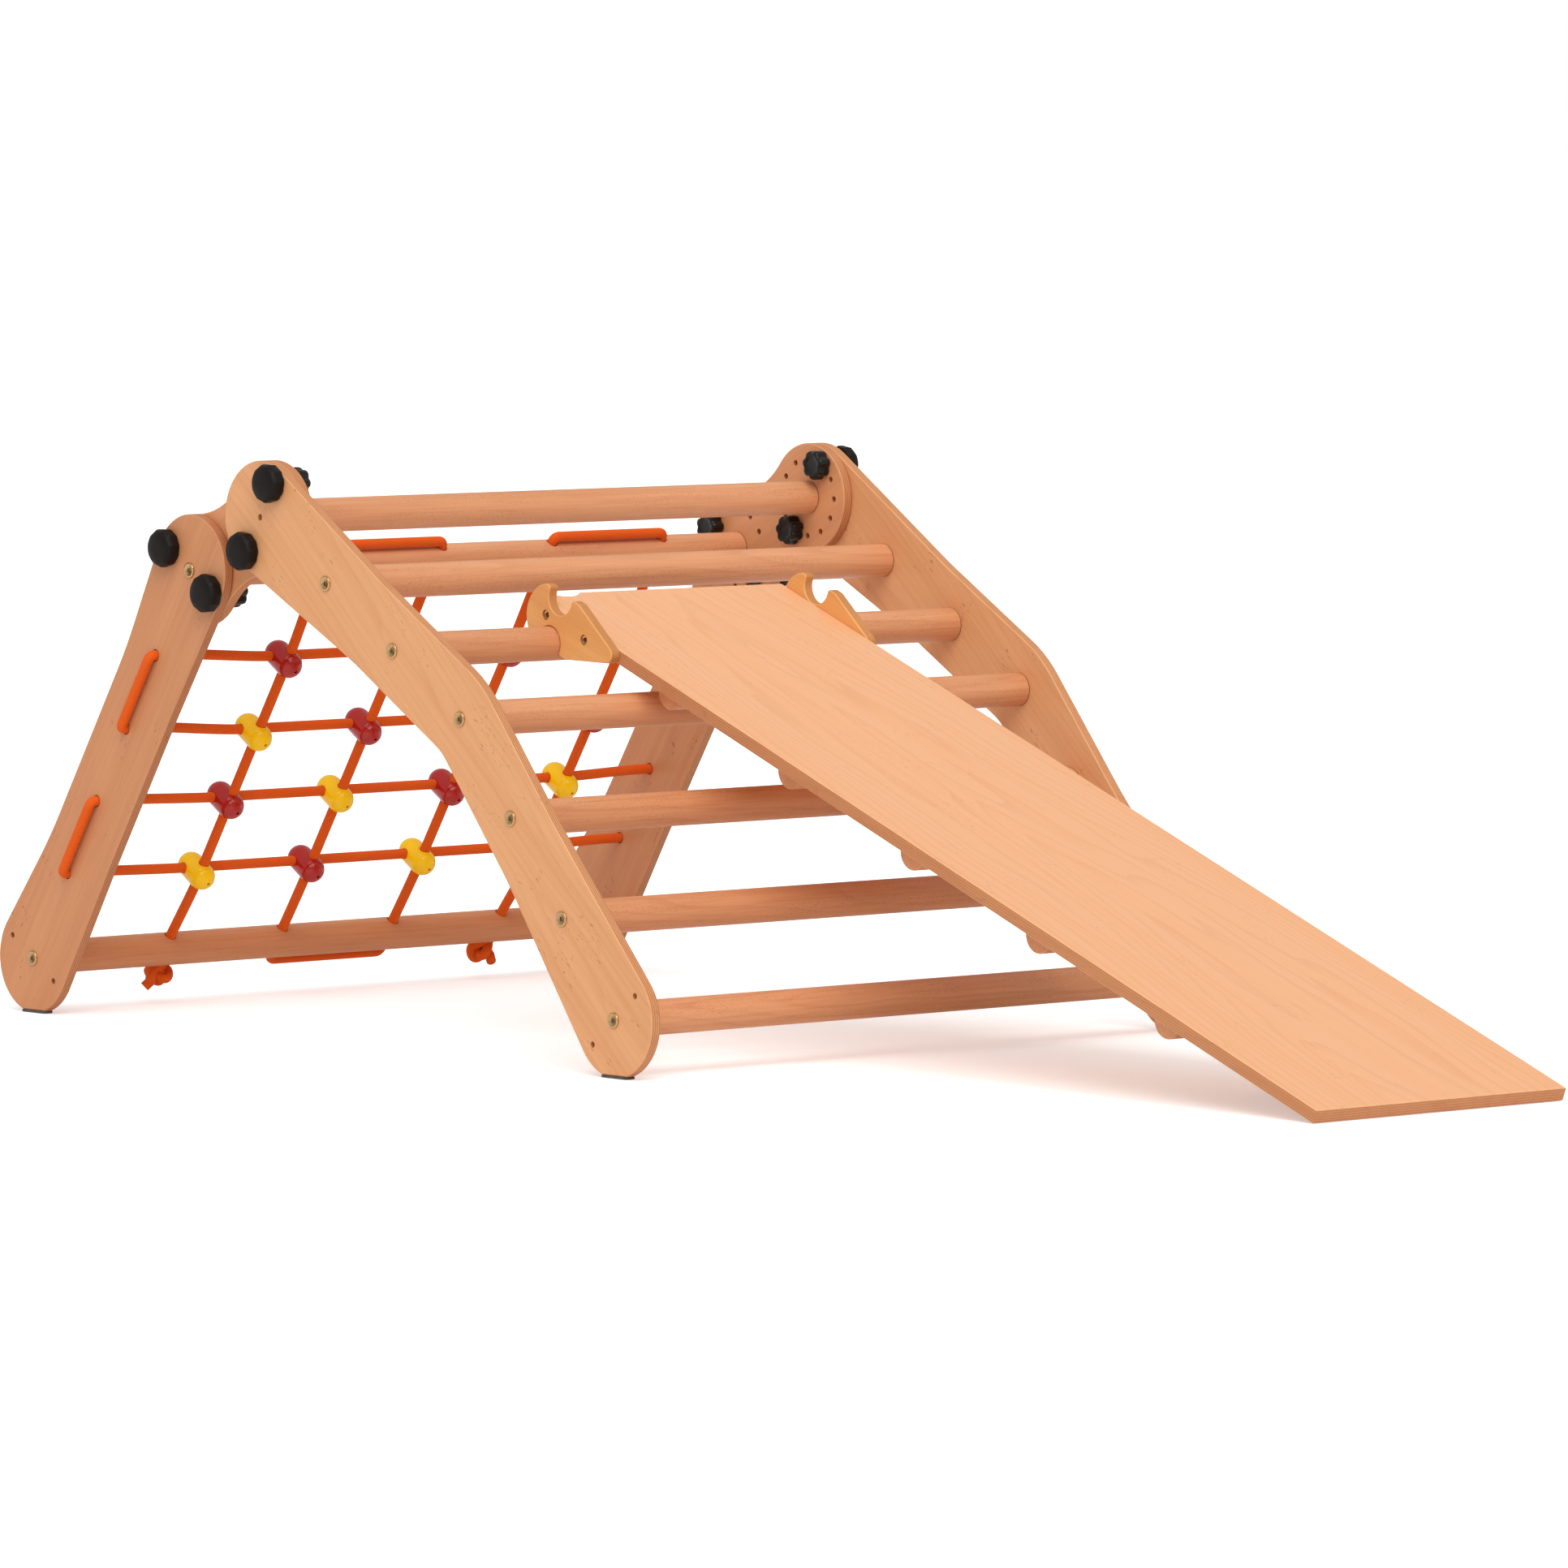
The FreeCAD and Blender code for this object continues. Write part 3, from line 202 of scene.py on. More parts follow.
# veneers seen from the side: depth is counted in metres from one face
def buildVeneerLayers():
    group, entry, leave = newGroup("veneerLayers", [
        ("Vector", "Vector", None), ("Depth", "Float", 0.0), ("Layer", "Float", 0.0013), ("Count", "Float", 9.0)],
        [("Cross", "Float", None), ("Glue", "Float", None), ("Inside", "Float", None)])
    out = entry.outputs
    wobble = noise(group, stretched(group, out["Vector"], (24, 24, 24)), 1.0, 2.0)
    shift = calc(group, "MULTIPLY", calc(group, "SUBTRACT", wobble, 0.5), 0.35)
    step = calc(group, "ADD", calc(group, "DIVIDE", out["Depth"], out["Layer"]), shift)
    cell = calc(group, "FLOOR", step)
    parity = calc(group, "FLOORED_MODULO", cell, 2.0)
    offset = calc(group, "ABSOLUTE", calc(group, "SUBTRACT", calc(group, "FRACT", step), 0.5))
    glue = remap(group, offset, 0.40, 0.49)
    lower = remap(group, step, 0.8, 1.0)
    last = calc(group, "SUBTRACT", out["Count"], step)
    upper = remap(group, last, 0.8, 1.0)
    inside = calc(group, "MULTIPLY", lower, upper)
    connect(group, calc(group, "MULTIPLY", parity, inside), leave.inputs["Cross"])
    connect(group, calc(group, "MULTIPLY", glue, inside), leave.inputs["Glue"])
    connect(group, inside, leave.inputs["Inside"])
    return group


handledShade = (0.35, 0.32, 0.3, 1)


# slow unevenness of sheen and tone, for plastics, metal and rubber
def buildHandling():
    group, entry, leave = newGroup("handling", [
        ("Vector", "Vector", None), ("Color", "Color", (0.5, 0.5, 0.5, 1)), ("Grit", "Float", 900.0),
        ("Rough Low", "Float", 0.3), ("Rough High", "Float", 0.5), ("Tone", "Float", 0.15)],
        [("Color", "Color", None), ("Roughness", "Float", None), ("Height", "Float", None)])
    out = entry.outputs
    smear = noise(group, stretched(group, out["Vector"], (60, 60, 60)), 1.0, 3.0, 0.6)
    grit = noise(group, out["Vector"], out["Grit"], 2.0)
    rough = remap(group, smear, 0.3, 0.7, out["Rough Low"], out["Rough High"])
    shade = calc(group, "MULTIPLY", remap(group, smear, 0.35, 0.75), out["Tone"])
    color = blendColors(group, shade, out["Color"], handledShade)
    connect(group, color, leave.inputs["Color"])
    connect(group, rough, leave.inputs["Roughness"])
    connect(group, grit, leave.inputs["Height"])
    return group


# two families of plaited strands over a UV whose first axis is metres and second is turns
def buildBraid():
    group, entry, leave = newGroup("braid", [
        ("UV", "Vector", None), ("Strands", "Float", 10.0), ("Pitch", "Float", 0.0044),
        ("Bright", "Color", (0.8, 0.2, 0.03, 1)), ("Shade", "Color", (0.45, 0.08, 0.01, 1))],
        [("Color", "Color", None), ("Height", "Float", None)])
    out = entry.outputs
    split = group.nodes.new("ShaderNodeSeparateXYZ")
    connect(group, out["UV"], split.inputs[0])
    along = calc(group, "DIVIDE", split.outputs[0], out["Pitch"])
    around = calc(group, "MULTIPLY", split.outputs[1], out["Strands"])
    first = calc(group, "MULTIPLY", calc(group, "ADD", along, around), pi)
    second = calc(group, "MULTIPLY", calc(group, "SUBTRACT", along, around), pi)
    one = calc(group, "ABSOLUTE", calc(group, "SINE", first))
    two = calc(group, "ABSOLUTE", calc(group, "SINE", second))
    ridge = calc(group, "POWER", calc(group, "MULTIPLY", one, two), 0.5)
    tangle = noise(group, stretched(group, out["UV"], (1500, 60, 1)), 1.0, 2.0)
    # painted shade: the strands are darker in the valleys between them
    valleyShade = remap(group, ridge, 0.05, 0.6)
    color = blendColors(group, valleyShade, out["Shade"], out["Bright"])
    fuzz = calc(group, "MULTIPLY", remap(group, tangle, 0.4, 0.75), 0.25)
    color = blendColors(group, fuzz, color, out["Shade"])
    height = calc(group, "ADD", ridge, calc(group, "MULTIPLY", tangle, 0.3))
    connect(group, color, leave.inputs["Color"])
    connect(group, height, leave.inputs["Height"])
    return group


woodGrain = buildWoodGrain()
veneerLayers = buildVeneerLayers()
handling = buildHandling()
braid = buildBraid()


def newMaterial(name):
    material = bpy.data.materials.new(name)
    material.use_nodes = True
    tree = material.node_tree
    shader = next(node for node in tree.nodes if node.type == "BSDF_PRINCIPLED")
    return material, tree, shader


def objectPlace(tree):
    return tree.nodes.new("ShaderNodeTexCoord").outputs["Object"]


def addGroup(tree, group, values):
    node = tree.nodes.new("ShaderNodeGroup")
    node.node_tree = group
    for label, value in values.items():
        setOrLink(tree, node.inputs[label], value)
    return node


def addBump(tree, shader, height, strength, distance):
    bump = tree.nodes.new("ShaderNodeBump")
    bump.inputs["Strength"].default_value = strength
    bump.inputs["Distance"].default_value = distance
    connect(tree, height, bump.inputs["Height"])
    connect(tree, bump.outputs[0], shader.inputs["Normal"])


# coordinates of a piece: along its grain, across it, and through its thickness
def pieceFrame(tree, along, through, shift):
    place = objectPlace(tree)
    side = Vector(through).cross(Vector(along))
    combine = tree.nodes.new("ShaderNodeCombineXYZ")
    for socket, direction in zip(combine.inputs, (along, side, through)):
        connect(tree, vectorCalc(tree, "DOT_PRODUCT", place, tuple(direction)), socket)
    moved = vectorCalc(tree, "ADD", combine.outputs[0], shift)
    return moved, place


plyLook = {
    "pale": (0.785, 0.385, 0.172, 1), "deep": (0.65, 0.28, 0.113, 1), "cross": (0.40, 0.145, 0.052, 1),
    "glue": (0.20, 0.055, 0.018, 1), "edge": (0.96, 0.93, 0.90, 1), "veneers": 9, "mirrored": True,
    "layer": 0.00134, "stripe": 0.62, "glueLine": 0.75,
    "arches": 4.0, "spread": 260.0, "figure": 0.26, "bands": 0.34, "streak": 0.24, "fleck": 0.05, "dashes": 0.5,
}
# the rear panels' ply is a darker copy of the front panels': painted shade
rearShadedLook = dict(plyLook, pale=(0.64, 0.275, 0.12, 1), deep=(0.50, 0.185, 0.072, 1), cross=(0.34, 0.12, 0.045, 1))
plateLook = dict(plyLook, pale=(0.72, 0.325, 0.145, 1), deep=(0.58, 0.225, 0.09, 1), dashes=0.0)
boardLook = dict(plyLook, pale=(0.865, 0.445, 0.222, 1), deep=(0.74, 0.34, 0.155, 1), cross=(0.50, 0.20, 0.08, 1),
                 edge=(0.78, 0.64, 0.54, 1), arches=5.0, spread=330.0, figure=0.34, bands=0.14, streak=0.10, fleck=0.0,
                 dashes=0.2, veneers=11, mirrored=False, layer=0.001364, stripe=0.66)
hookLook = dict(plyLook, pale=(0.85, 0.425, 0.145, 1), deep=(0.70, 0.29, 0.08, 1), dashes=0.0, stripe=0.42,
                glueLine=0.4, edge=(0.80, 0.70, 0.62, 1))
woodFinish = {"sheen": 0.36, "bump": 0.25, "relief": 0.0003}


def grainOf(tree, look, place):
    values = {"Vector": place}
    for label in ("Pale", "Deep", "Arches", "Spread", "Figure", "Bands", "Streak", "Fleck", "Dashes"):
        values[label] = look[label.lower()]
    return addGroup(tree, woodGrain, values)


def finishWood(tree, shader, color, rough, height):
    connect(tree, color, shader.inputs["Base Color"])
    connect(tree, rough, shader.inputs["Roughness"])
    shader.inputs["Specular IOR Level"].default_value = woodFinish["sheen"]
    addBump(tree, shader, height, woodFinish["bump"], woodFinish["relief"])


# plywood whose veneers are stacked along one direction, counted from start
def plywood(name, look, along, through, start, shift=(0, 0, 0)):
    material, tree, shader = newMaterial(name)
    grainPlace, place = pieceFrame(tree, along, through, shift)
    grain = grainOf(tree, look, grainPlace)
    depth = vectorCalc(tree, "DOT_PRODUCT", place, tuple(through))
    if look["mirrored"]:
        depth = calc(tree, "ABSOLUTE", depth)
    depth = calc(tree, "SUBTRACT", depth, start)
    layers = addGroup(tree, veneerLayers, {
        "Vector": grainPlace, "Depth": depth, "Layer": look["layer"], "Count": look["veneers"]})
    cross = calc(tree, "MULTIPLY", layers.outputs["Cross"], look["stripe"])
    glue = calc(tree, "MULTIPLY", layers.outputs["Glue"], look["glueLine"])
    color = blendColors(tree, layers.outputs["Inside"], grain.outputs["Color"], look["edge"], "MULTIPLY")
    color = blendColors(tree, cross, color, look["cross"])
    color = blendColors(tree, glue, color, look["glue"])
    rough = calc(tree, "ADD", grain.outputs["Roughness"], calc(tree, "MULTIPLY", layers.outputs["Inside"], 0.12))
    height = calc(tree, "SUBTRACT", grain.outputs["Height"], calc(tree, "MULTIPLY", layers.outputs["Glue"], 0.6))
    finishWood(tree, shader, color, rough, height)
    return material


beechLook = {
    "pale": (0.77, 0.355, 0.172, 1), "deep": (0.56, 0.215, 0.088, 1), "arches": 2.0, "spread": 300.0, "figure": 0.22,
    "bands": 0.44, "streak": 0.32, "fleck": 0.3, "dashes": 0.0, "paintedSeamShade": (0.10, 0.03, 0.012, 1),
    "seamWidth": 0.0009, "seamDepth": 0.85,
}
netRungLook = dict(beechLook, pale=(0.70, 0.29, 0.125, 1), deep=(0.50, 0.175, 0.065, 1), fleck=0.15)


# round beech stock; seamAt darkens the last of it where it meets a side piece, painted shade of the joint
def beech(name, look, along, through, seamAt=None, shift=(0, 0, 0)):
    material, tree, shader = newMaterial(name)
    grainPlace, place = pieceFrame(tree, along, through, shift)
    grain = grainOf(tree, look, grainPlace)
    color = grain.outputs["Color"]
    if seamAt:
        reach = calc(tree, "ABSOLUTE", vectorCalc(tree, "DOT_PRODUCT", place, (1, 0, 0)))
        width = look["seamWidth"]
        # painted shade at the joint with the side panel
        seam = remap(tree, reach, seamAt - width * 1.6, seamAt - width * 0.6, 0.0, look["seamDepth"])
        color = blendColors(tree, seam, color, look["paintedSeamShade"])
    finishWood(tree, shader, color, grain.outputs["Roughness"], grain.outputs["Height"])
    return material


mouldedLook = {
    "tone": 0.0, "metallic": 0.0, "coat": 0.0, "coatRough": 0.08, "specular": 0.5, "relief": 0.0002, "hollow": None,
}


# plastic, metal or rubber; the recess colour is painted shade, darkening the recesses that the mesh marks
def moulded(name, **changes):
    look = dict(mouldedLook, **changes)
    material, tree, shader = newMaterial(name)
    finish = addGroup(tree, handling, {
        "Vector": objectPlace(tree), "Color": look["color"], "Grit": look["grit"], "Rough Low": look["rough"][0],
        "Rough High": look["rough"][1], "Tone": look["tone"]})
    shade = finish.outputs["Color"]
    if look["hollow"]:
        mark = tree.nodes.new("ShaderNodeAttribute")
        mark.attribute_name = "hollow"
        shade = blendColors(tree, mark.outputs["Fac"], shade, look["hollow"])
    connect(tree, shade, shader.inputs["Base Color"])
    connect(tree, finish.outputs["Roughness"], shader.inputs["Roughness"])
    for label, key in (("Metallic", "metallic"), ("Specular IOR Level", "specular"), ("Coat Weight", "coat"),
                       ("Coat Roughness", "coatRough")):
        shader.inputs[label].default_value = look[key]
    addBump(tree, shader, finish.outputs["Height"], look["bump"], look["relief"])
    return material


# the shown cells fall on the lumps of the swept mesh: half as many strands as it has sides
ropeWeave = {
    "spacing": 0.00135, "sides": 28, "lump": 0.00026, "resolution": 8, "bright": (0.86, 0.122, 0.006, 1),
    "shade": (0.62, 0.072, 0.0035, 1), "rough": 0.78, "specular": 0.18, "fuzz": 0.04, "fuzzRough": 0.5,
    "bump": 0.6, "relief": 0.0006,
}


def rope():
    material, tree, shader = newMaterial("orangeBraid")
    uv = tree.nodes.new("ShaderNodeUVMap")
    uv.uv_map = "UVMap"
    weave = addGroup(tree, braid, {
        "UV": uv.outputs[0], "Strands": ropeWeave["sides"] / 2, "Pitch": ropeWeave["spacing"] * 2,
        "Bright": ropeWeave["bright"], "Shade": ropeWeave["shade"]})
    connect(tree, weave.outputs["Color"], shader.inputs["Base Color"])
    for label, key in (("Roughness", "rough"), ("Specular IOR Level", "specular"), ("Sheen Weight", "fuzz"),
                       ("Sheen Roughness", "fuzzRough")):
        shader.inputs[label].default_value = ropeWeave[key]
    addBump(tree, shader, weave.outputs["Height"], ropeWeave["bump"], ropeWeave["relief"])
    return material


panelGrain = (upperDown + lowerDown).normalized()
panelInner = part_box("front_side_panel_right")[0][0]
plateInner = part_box("hinge_plate_right")[0][0]
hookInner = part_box("slide_hook_plate_right")[0][0]
boardLift = 0.0183
boardUnder = slideOut.dot(slideAxis) + boardLift
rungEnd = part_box("front_rung_2")[1][0]
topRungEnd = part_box("top_rung")[1][0]
materials = {
    "front panels": plywood("frontPanelPly", plyLook, panelGrain, rungAcross, panelInner),
    "rear panels": plywood("rearPanelShadedPly", rearShadedLook, rearDown, rungAcross, panelInner, (3, 1, 0)),
    "plates": plywood("hingePlatePly", plateLook, plateAlong, rungAcross, plateInner, (7, 2, 0)),
    "board": plywood("slideBoardPly", boardLook, slideUp, slideOut, boardUnder),
    "hooks": plywood("hookPly", hookLook, slideUp, rungAcross, hookInner, (5, 4, 0)),
    "rungs": beech("rungBeech", beechLook, rungAcross, rearOut, rungEnd),
    "top rungs": beech("topRungBeech", beechLook, rungAcross, rearOut, topRungEnd, (2, 5, 1)),
    "net rung": beech("netRungBeech", netRungLook, rungAcross, rearOut, rungEnd, (1, 4, 2)),
    "cleats": beech("cleatBeech", beechLook, rungAcross, rearOut, None, (4, 3, 6)),
    "knobs": moulded("knobBlack", color=(0.0085, 0.0055, 0.004, 1), rough=(0.42, 0.56), grit=1400.0, bump=0.25,
                     specular=0.16),
    "star nuts": moulded("starNutBlack", color=(0.008, 0.0065, 0.005, 1), rough=(0.22, 0.34), grit=900.0,
                         bump=0.12, specular=0.28),
    "red": moulded("connectorRed", color=(0.42, 0.009, 0.005, 1), rough=(0.12, 0.2), grit=500.0, bump=0.02,
                   coat=0.2, specular=0.4, hollow=(0.10, 0.002, 0.001, 1)),
    "yellow": moulded("connectorYellow", color=(1.0, 0.60, 0.0, 1), rough=(0.16, 0.24), grit=500.0, bump=0.02,
                      coat=0.1, specular=0.3, hollow=(0.45, 0.16, 0.001, 1)),
    "zinc": moulded("screwZinc", color=(0.58, 0.40, 0.20, 1), rough=(0.22, 0.40), tone=0.3, grit=1200.0, bump=0.15,
                    metallic=1.0),
    "screw heads": moulded("screwHeadZinc", color=(0.64, 0.40, 0.17, 1), rough=(0.20, 0.36), tone=0.25,
                           grit=1200.0, bump=0.12, metallic=1.0, hollow=(0.12, 0.06, 0.03, 1)),
    "brass": moulded("insertBrass", color=(0.6, 0.42, 0.16, 1), rough=(0.3, 0.5), tone=0.2, grit=1200.0, bump=0.1,
                     metallic=1.0),
    "rubber": moulded("footRubber", color=(0.05, 0.047, 0.044, 1), rough=(0.6, 0.8), tone=0.2, grit=1500.0,
                      bump=0.4),
    "rope": rope(),
}
print("stage: materials", len(materials))

finishOf = {
    "front panels": ["front_side_panel_left", "front_side_panel_right"],
    "rear panels": ["rear_side_panel_left", "rear_side_panel_right"],
    "plates": ["hinge_plate_left", "hinge_plate_right"],
    "board": ["slide_board"],
    "hooks": ["slide_hook_plate_left", "slide_hook_plate_right"],
    "rungs": [f"front_rung_{number}" for number in range(2, 8)],
    "net rung": ["rear_bottom_rung"],
    "top rungs": ["top_rung", "rear_top_rung"],
    "cleats": [f"slide_cleat_{number}" for number in range(1, 6)],
    "zinc": ["front_index_bolts", "rear_index_bolts", "top_rung_pivot_pins"],
    "brass": ["front_rung_inserts", "rear_rung_inserts"],
    "rubber": ["front_foot_pads", "rear_foot_pads"],
    "red": ["net_connectors_red"],
    "yellow": ["net_connectors_yellow"],
}
for finish, members in finishOf.items():
    for member in members:
        slots = nodes[member].data.materials
        if len(slots) == 0:
            slots.append(materials[finish])
        for index in range(len(slots)):
            slots[index] = materials[finish]


def newObject(name, data):
    piece = bpy.data.objects.new(name, data)
    bpy.context.scene.collection.objects.link(piece)
    return piece


def smooth(mesh):
    for polygon in mesh.polygons:
        polygon.use_smooth = True


# one ring of points for each profile entry (radius, height, mark), joined by faces and closed at both ends
def skinRings(shell, rings, steps, radiusAt):
    loops = []
    for radius, height, mark in rings:
        loop = []
        for step in range(steps):
            angle = 2 * pi * step / steps
            reach = radiusAt(radius, mark, angle)
            loop.append(shell.verts.new((reach * cos(angle), reach * sin(angle), height)))
        loops.append(loop)
    for lower, upper in zip(loops, loops[1:]):
        for step in range(steps):
            after = (step + 1) % steps
            shell.faces.new((lower[step], lower[after], upper[after], upper[step]))
    for loop, flip in ((loops[0], True), (loops[-1], False)):
        centre = shell.verts.new((0, 0, loop[0].co.z))
        for step in range(steps):
            after = (step + 1) % steps
            shell.faces.new((loop[after], loop[step], centre) if flip else (loop[step], loop[after], centre))


def meshOf(name, shell):
    mesh = bpy.data.meshes.new(name)
    shell.to_mesh(mesh)
    shell.free()
    smooth(mesh)
    return mesh


# a lathe-like shell whose radius may change round its axis
def ringShell(name, rings, steps, radiusAt):
    shell = bmesh.new()
    skinRings(shell, rings, steps, radiusAt)
    bmesh.ops.recalc_face_normals(shell, faces=shell.faces)
    return meshOf(name, shell)


# moves a mesh made along Z to its place, facing outwards
def standAt(mesh, origin, outward, turn=0.0):
    up = Vector(outward).normalized()
    side = Vector((0, 0, 1)).cross(up)
    side = side.normalized() if side.length > 1e-4 else Vector((1, 0, 0))
    matrix = Matrix((side, up.cross(side), up)).transposed().to_4x4()
    mesh.transform(Matrix.Translation(origin) @ matrix @ Matrix.Rotation(turn, 4, "Z"))
    mesh.update()


# rings from the panel outwards: radius, height, and how much the facets or lobes show
knobShape = {
    "facets": 11, "facet": 1.1, "steps": 132,
    "rings": [(0.60, 0.0, 0), (0.90, 0.0, 0.4), (0.955, 0.03, 0.8), (0.985, 0.10, 1), (1.0, 0.25, 1), (1.0, 0.48, 1),
              (0.985, 0.62, 1), (0.955, 0.70, 0.9), (0.925, 0.745, 0.75), (0.885, 0.80, 0.45), (0.83, 0.855, 0.2),
              (0.74, 0.905, 0.05), (0.60, 0.95, 0), (0.40, 0.98, 0), (0.18, 0.995, 0)],
}
starShape = {
    "lobes": 7, "depth": 0.155, "steps": 140,
    "rings": [(0.55, 0.0, 0.6), (0.90, 0.0, 1), (0.965, 0.04, 1), (0.995, 0.12, 1), (1.0, 0.3, 1), (1.0, 0.62, 1),
              (0.985, 0.78, 1), (0.94, 0.90, 1), (0.87, 0.97, 1), (0.78, 1.0, 0.9), (0.68, 0.995, 0.6),
              (0.58, 0.965, 0.3), (0.50, 0.93, 0.1), (0.42, 0.915, 0), (0.2, 0.91, 0)],
}


def knobRadius(radius, depth, angle):
    span = 2 * pi / knobShape["facets"]
    flat = cos(span / 2) / cos(angle % span - span / 2)
    return radius * (1 + (flat - 1) * knobShape["facet"] * depth)


def starRadius(radius, depth, angle):
    dip = (0.5 - 0.5 * cos(starShape["lobes"] * angle)) ** 1.5
    return radius * (1 - starShape["depth"] * depth * dip)


def makeHandWheel(node, shape, radiusAt, material, turn):
    low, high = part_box(node)
    joint = joints[node + "_spin"]
    outward = Vector(joint["axis"])
    height = high[0] - low[0]
    width = max(high[1] - low[1], high[2] - low[2]) / 2
    base = Vector((low[0] if outward.x > 0 else high[0], joint["pos_m"][1], joint["pos_m"][2]))
    rings = [(radius * width, level * height, depth) for radius, level, depth in shape["rings"]]
    mesh = ringShell(node + "_form", rings, shape["steps"], radiusAt)
    standAt(mesh, base, outward, turn)
    mesh.materials.append(material)
    piece = newObject(node + "_moulded", mesh)
    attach(piece, node)
    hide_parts(node)


# how far each wheel happens to be turned
turns = iter((0.1, 0.5, 0.3, 0.25, 0.0, 0.4, 0.2, 0.35, 0.15, 0.6, 0.45, 0.05, 0.55, 0.3, 0.22, 0.38))
wheels = {"knob": (knobShape, knobRadius, materials["knobs"]),
          "star_nut": (starShape, starRadius, materials["star nuts"])}
for end in ("front", "rear"):
    for level in ("upper", "lower"):
        for hand in ("left", "right"):
            for kind, (shape, radiusAt, material) in wheels.items():
                makeHandWheel(f"{end}_{level}_{kind}_{hand}", shape, radiusAt, material, next(turns))
print("stage: knobs and star nuts")


def newTree(name, inputs):
    tree = bpy.data.node_groups.new(name, "GeometryNodeTree")
    tree.interface.new_socket(name="Geometry", in_out="INPUT", socket_type="NodeSocketGeometry")
    for label, kind in inputs:
        tree.interface.new_socket(name=label, in_out="INPUT", socket_type="NodeSocket" + kind)
    tree.interface.new_socket(name="Geometry", in_out="OUTPUT", socket_type="NodeSocketGeometry")
    return tree, tree.nodes.new("NodeGroupInput"), tree.nodes.new("NodeGroupOutput")


def runTree(piece, tree, values, name):
    modifier = piece.modifiers.new("make", "NODES")
    modifier.node_group = tree
    for item in tree.interface.items_tree:
        if item.in_out == "INPUT" and item.name in values:
            modifier[item.identifier] = values[item.name]
    graph = bpy.context.evaluated_depsgraph_get()
    graph.update()
    mesh = bpy.data.meshes.new_from_object(piece.evaluated_get(graph))
    mesh.name = name
    piece.modifiers.remove(modifier)
    old = piece.data
    bpy.data.objects.remove(piece)
    if old.users == 0:
        (bpy.data.curves if isinstance(old, bpy.types.Curve) else bpy.data.meshes).remove(old)
    return newObject(name, mesh)


def add(tree, kind, values=None, **settings):
    node = tree.nodes.new(kind)
    for label, value in settings.items():
        setattr(node, label, value)
    for label, value in (values or {}).items():
        setOrLink(tree, node.inputs[label], value)
    return node


# copies of one small form on marked points, each turned a little about its own axis
def buildCopies():
    tree, entry, leave = newTree("placedCopies", [("Form", "Object"), ("Size", "Float"), ("Seed", "Int"),
                                                  ("Turn", "Float"), ("Finish", "Material")])
    aim = add(tree, "GeometryNodeInputNamedAttribute", {"Name": "aim"}, data_type="FLOAT_VECTOR")
    facing = add(tree, "FunctionNodeAlignRotationToVector", {"Vector": aim.outputs[0]}, axis="Z")
    spin = add(tree, "FunctionNodeRandomValue", {"Seed": entry.outputs["Seed"]}, data_type="FLOAT")
    setOrLink(tree, spin.inputs[3], entry.outputs["Turn"])
    euler = add(tree, "ShaderNodeCombineXYZ", {"Z": spin.outputs[1]})
    turned = add(tree, "FunctionNodeEulerToRotation", {0: euler.outputs[0]})
    rotation = add(tree, "FunctionNodeRotateRotation", {0: facing.outputs[0], 1: turned.outputs[0]},
                   rotation_space="LOCAL")
    form = add(tree, "GeometryNodeObjectInfo", {"Object": entry.outputs["Form"], "As Instance": True})
    points = add(tree, "GeometryNodeMeshToPoints", {"Mesh": entry.outputs["Geometry"]})
    placed = add(tree, "GeometryNodeInstanceOnPoints", {
        "Points": points.outputs[0], "Instance": form.outputs["Geometry"], "Rotation": rotation.outputs[0],
        "Scale": entry.outputs["Size"]})
    real = add(tree, "GeometryNodeRealizeInstances", {0: placed.outputs[0]})
    finish = add(tree, "GeometryNodeSetMaterial", {"Geometry": real.outputs[0], "Material": entry.outputs["Finish"]})
    connect(tree, finish.outputs[0], leave.inputs[0])
    return tree


placedCopies = buildCopies()
copySettings = {"size": 1.0, "seed": 4, "anyTurn": 6.28}


def placeCopies(name, form, places, material, turn):
    marks = bpy.data.meshes.new(name + "_marks")
    marks.from_pydata([tuple(place) for place, aim in places], [], [])
    aims = marks.attributes.new("aim", "FLOAT_VECTOR", "POINT")
    for item, (place, aim) in zip(aims.data, places):
        item.vector = aim
    holder = newObject(name + "_marks", marks)
    master = newObject(name + "_master", form)
    made = runTree(holder, placedCopies, {
        "Form": master, "Size": copySettings["size"], "Seed": copySettings["seed"], "Turn": turn,
        "Finish": material}, name)
    bpy.data.objects.remove(master)
    return made


screwShape = {
    "rim": 0.008, "headHeight": 0.0018, "dish": 0.0052, "dishDepth": 0.0009, "socket": 0.0024, "socketDepth": 0.0026,
    "steps": 48,
}
hookScrewShape = {
    "rim": 0.0055, "headHeight": 0.003, "dish": 0.0040, "dishDepth": 0.0004, "socket": 0.0023, "socketDepth": 0.002,
    "steps": 36,
}


# stores on each point how much painted shade it gets in recesses
def markPaintedShade(mesh, measure):
    layer = mesh.attributes.new("hollow", "FLOAT", "POINT")
    for item, vertex in zip(layer.data, mesh.vertices):
        item.value = measure(vertex.co)


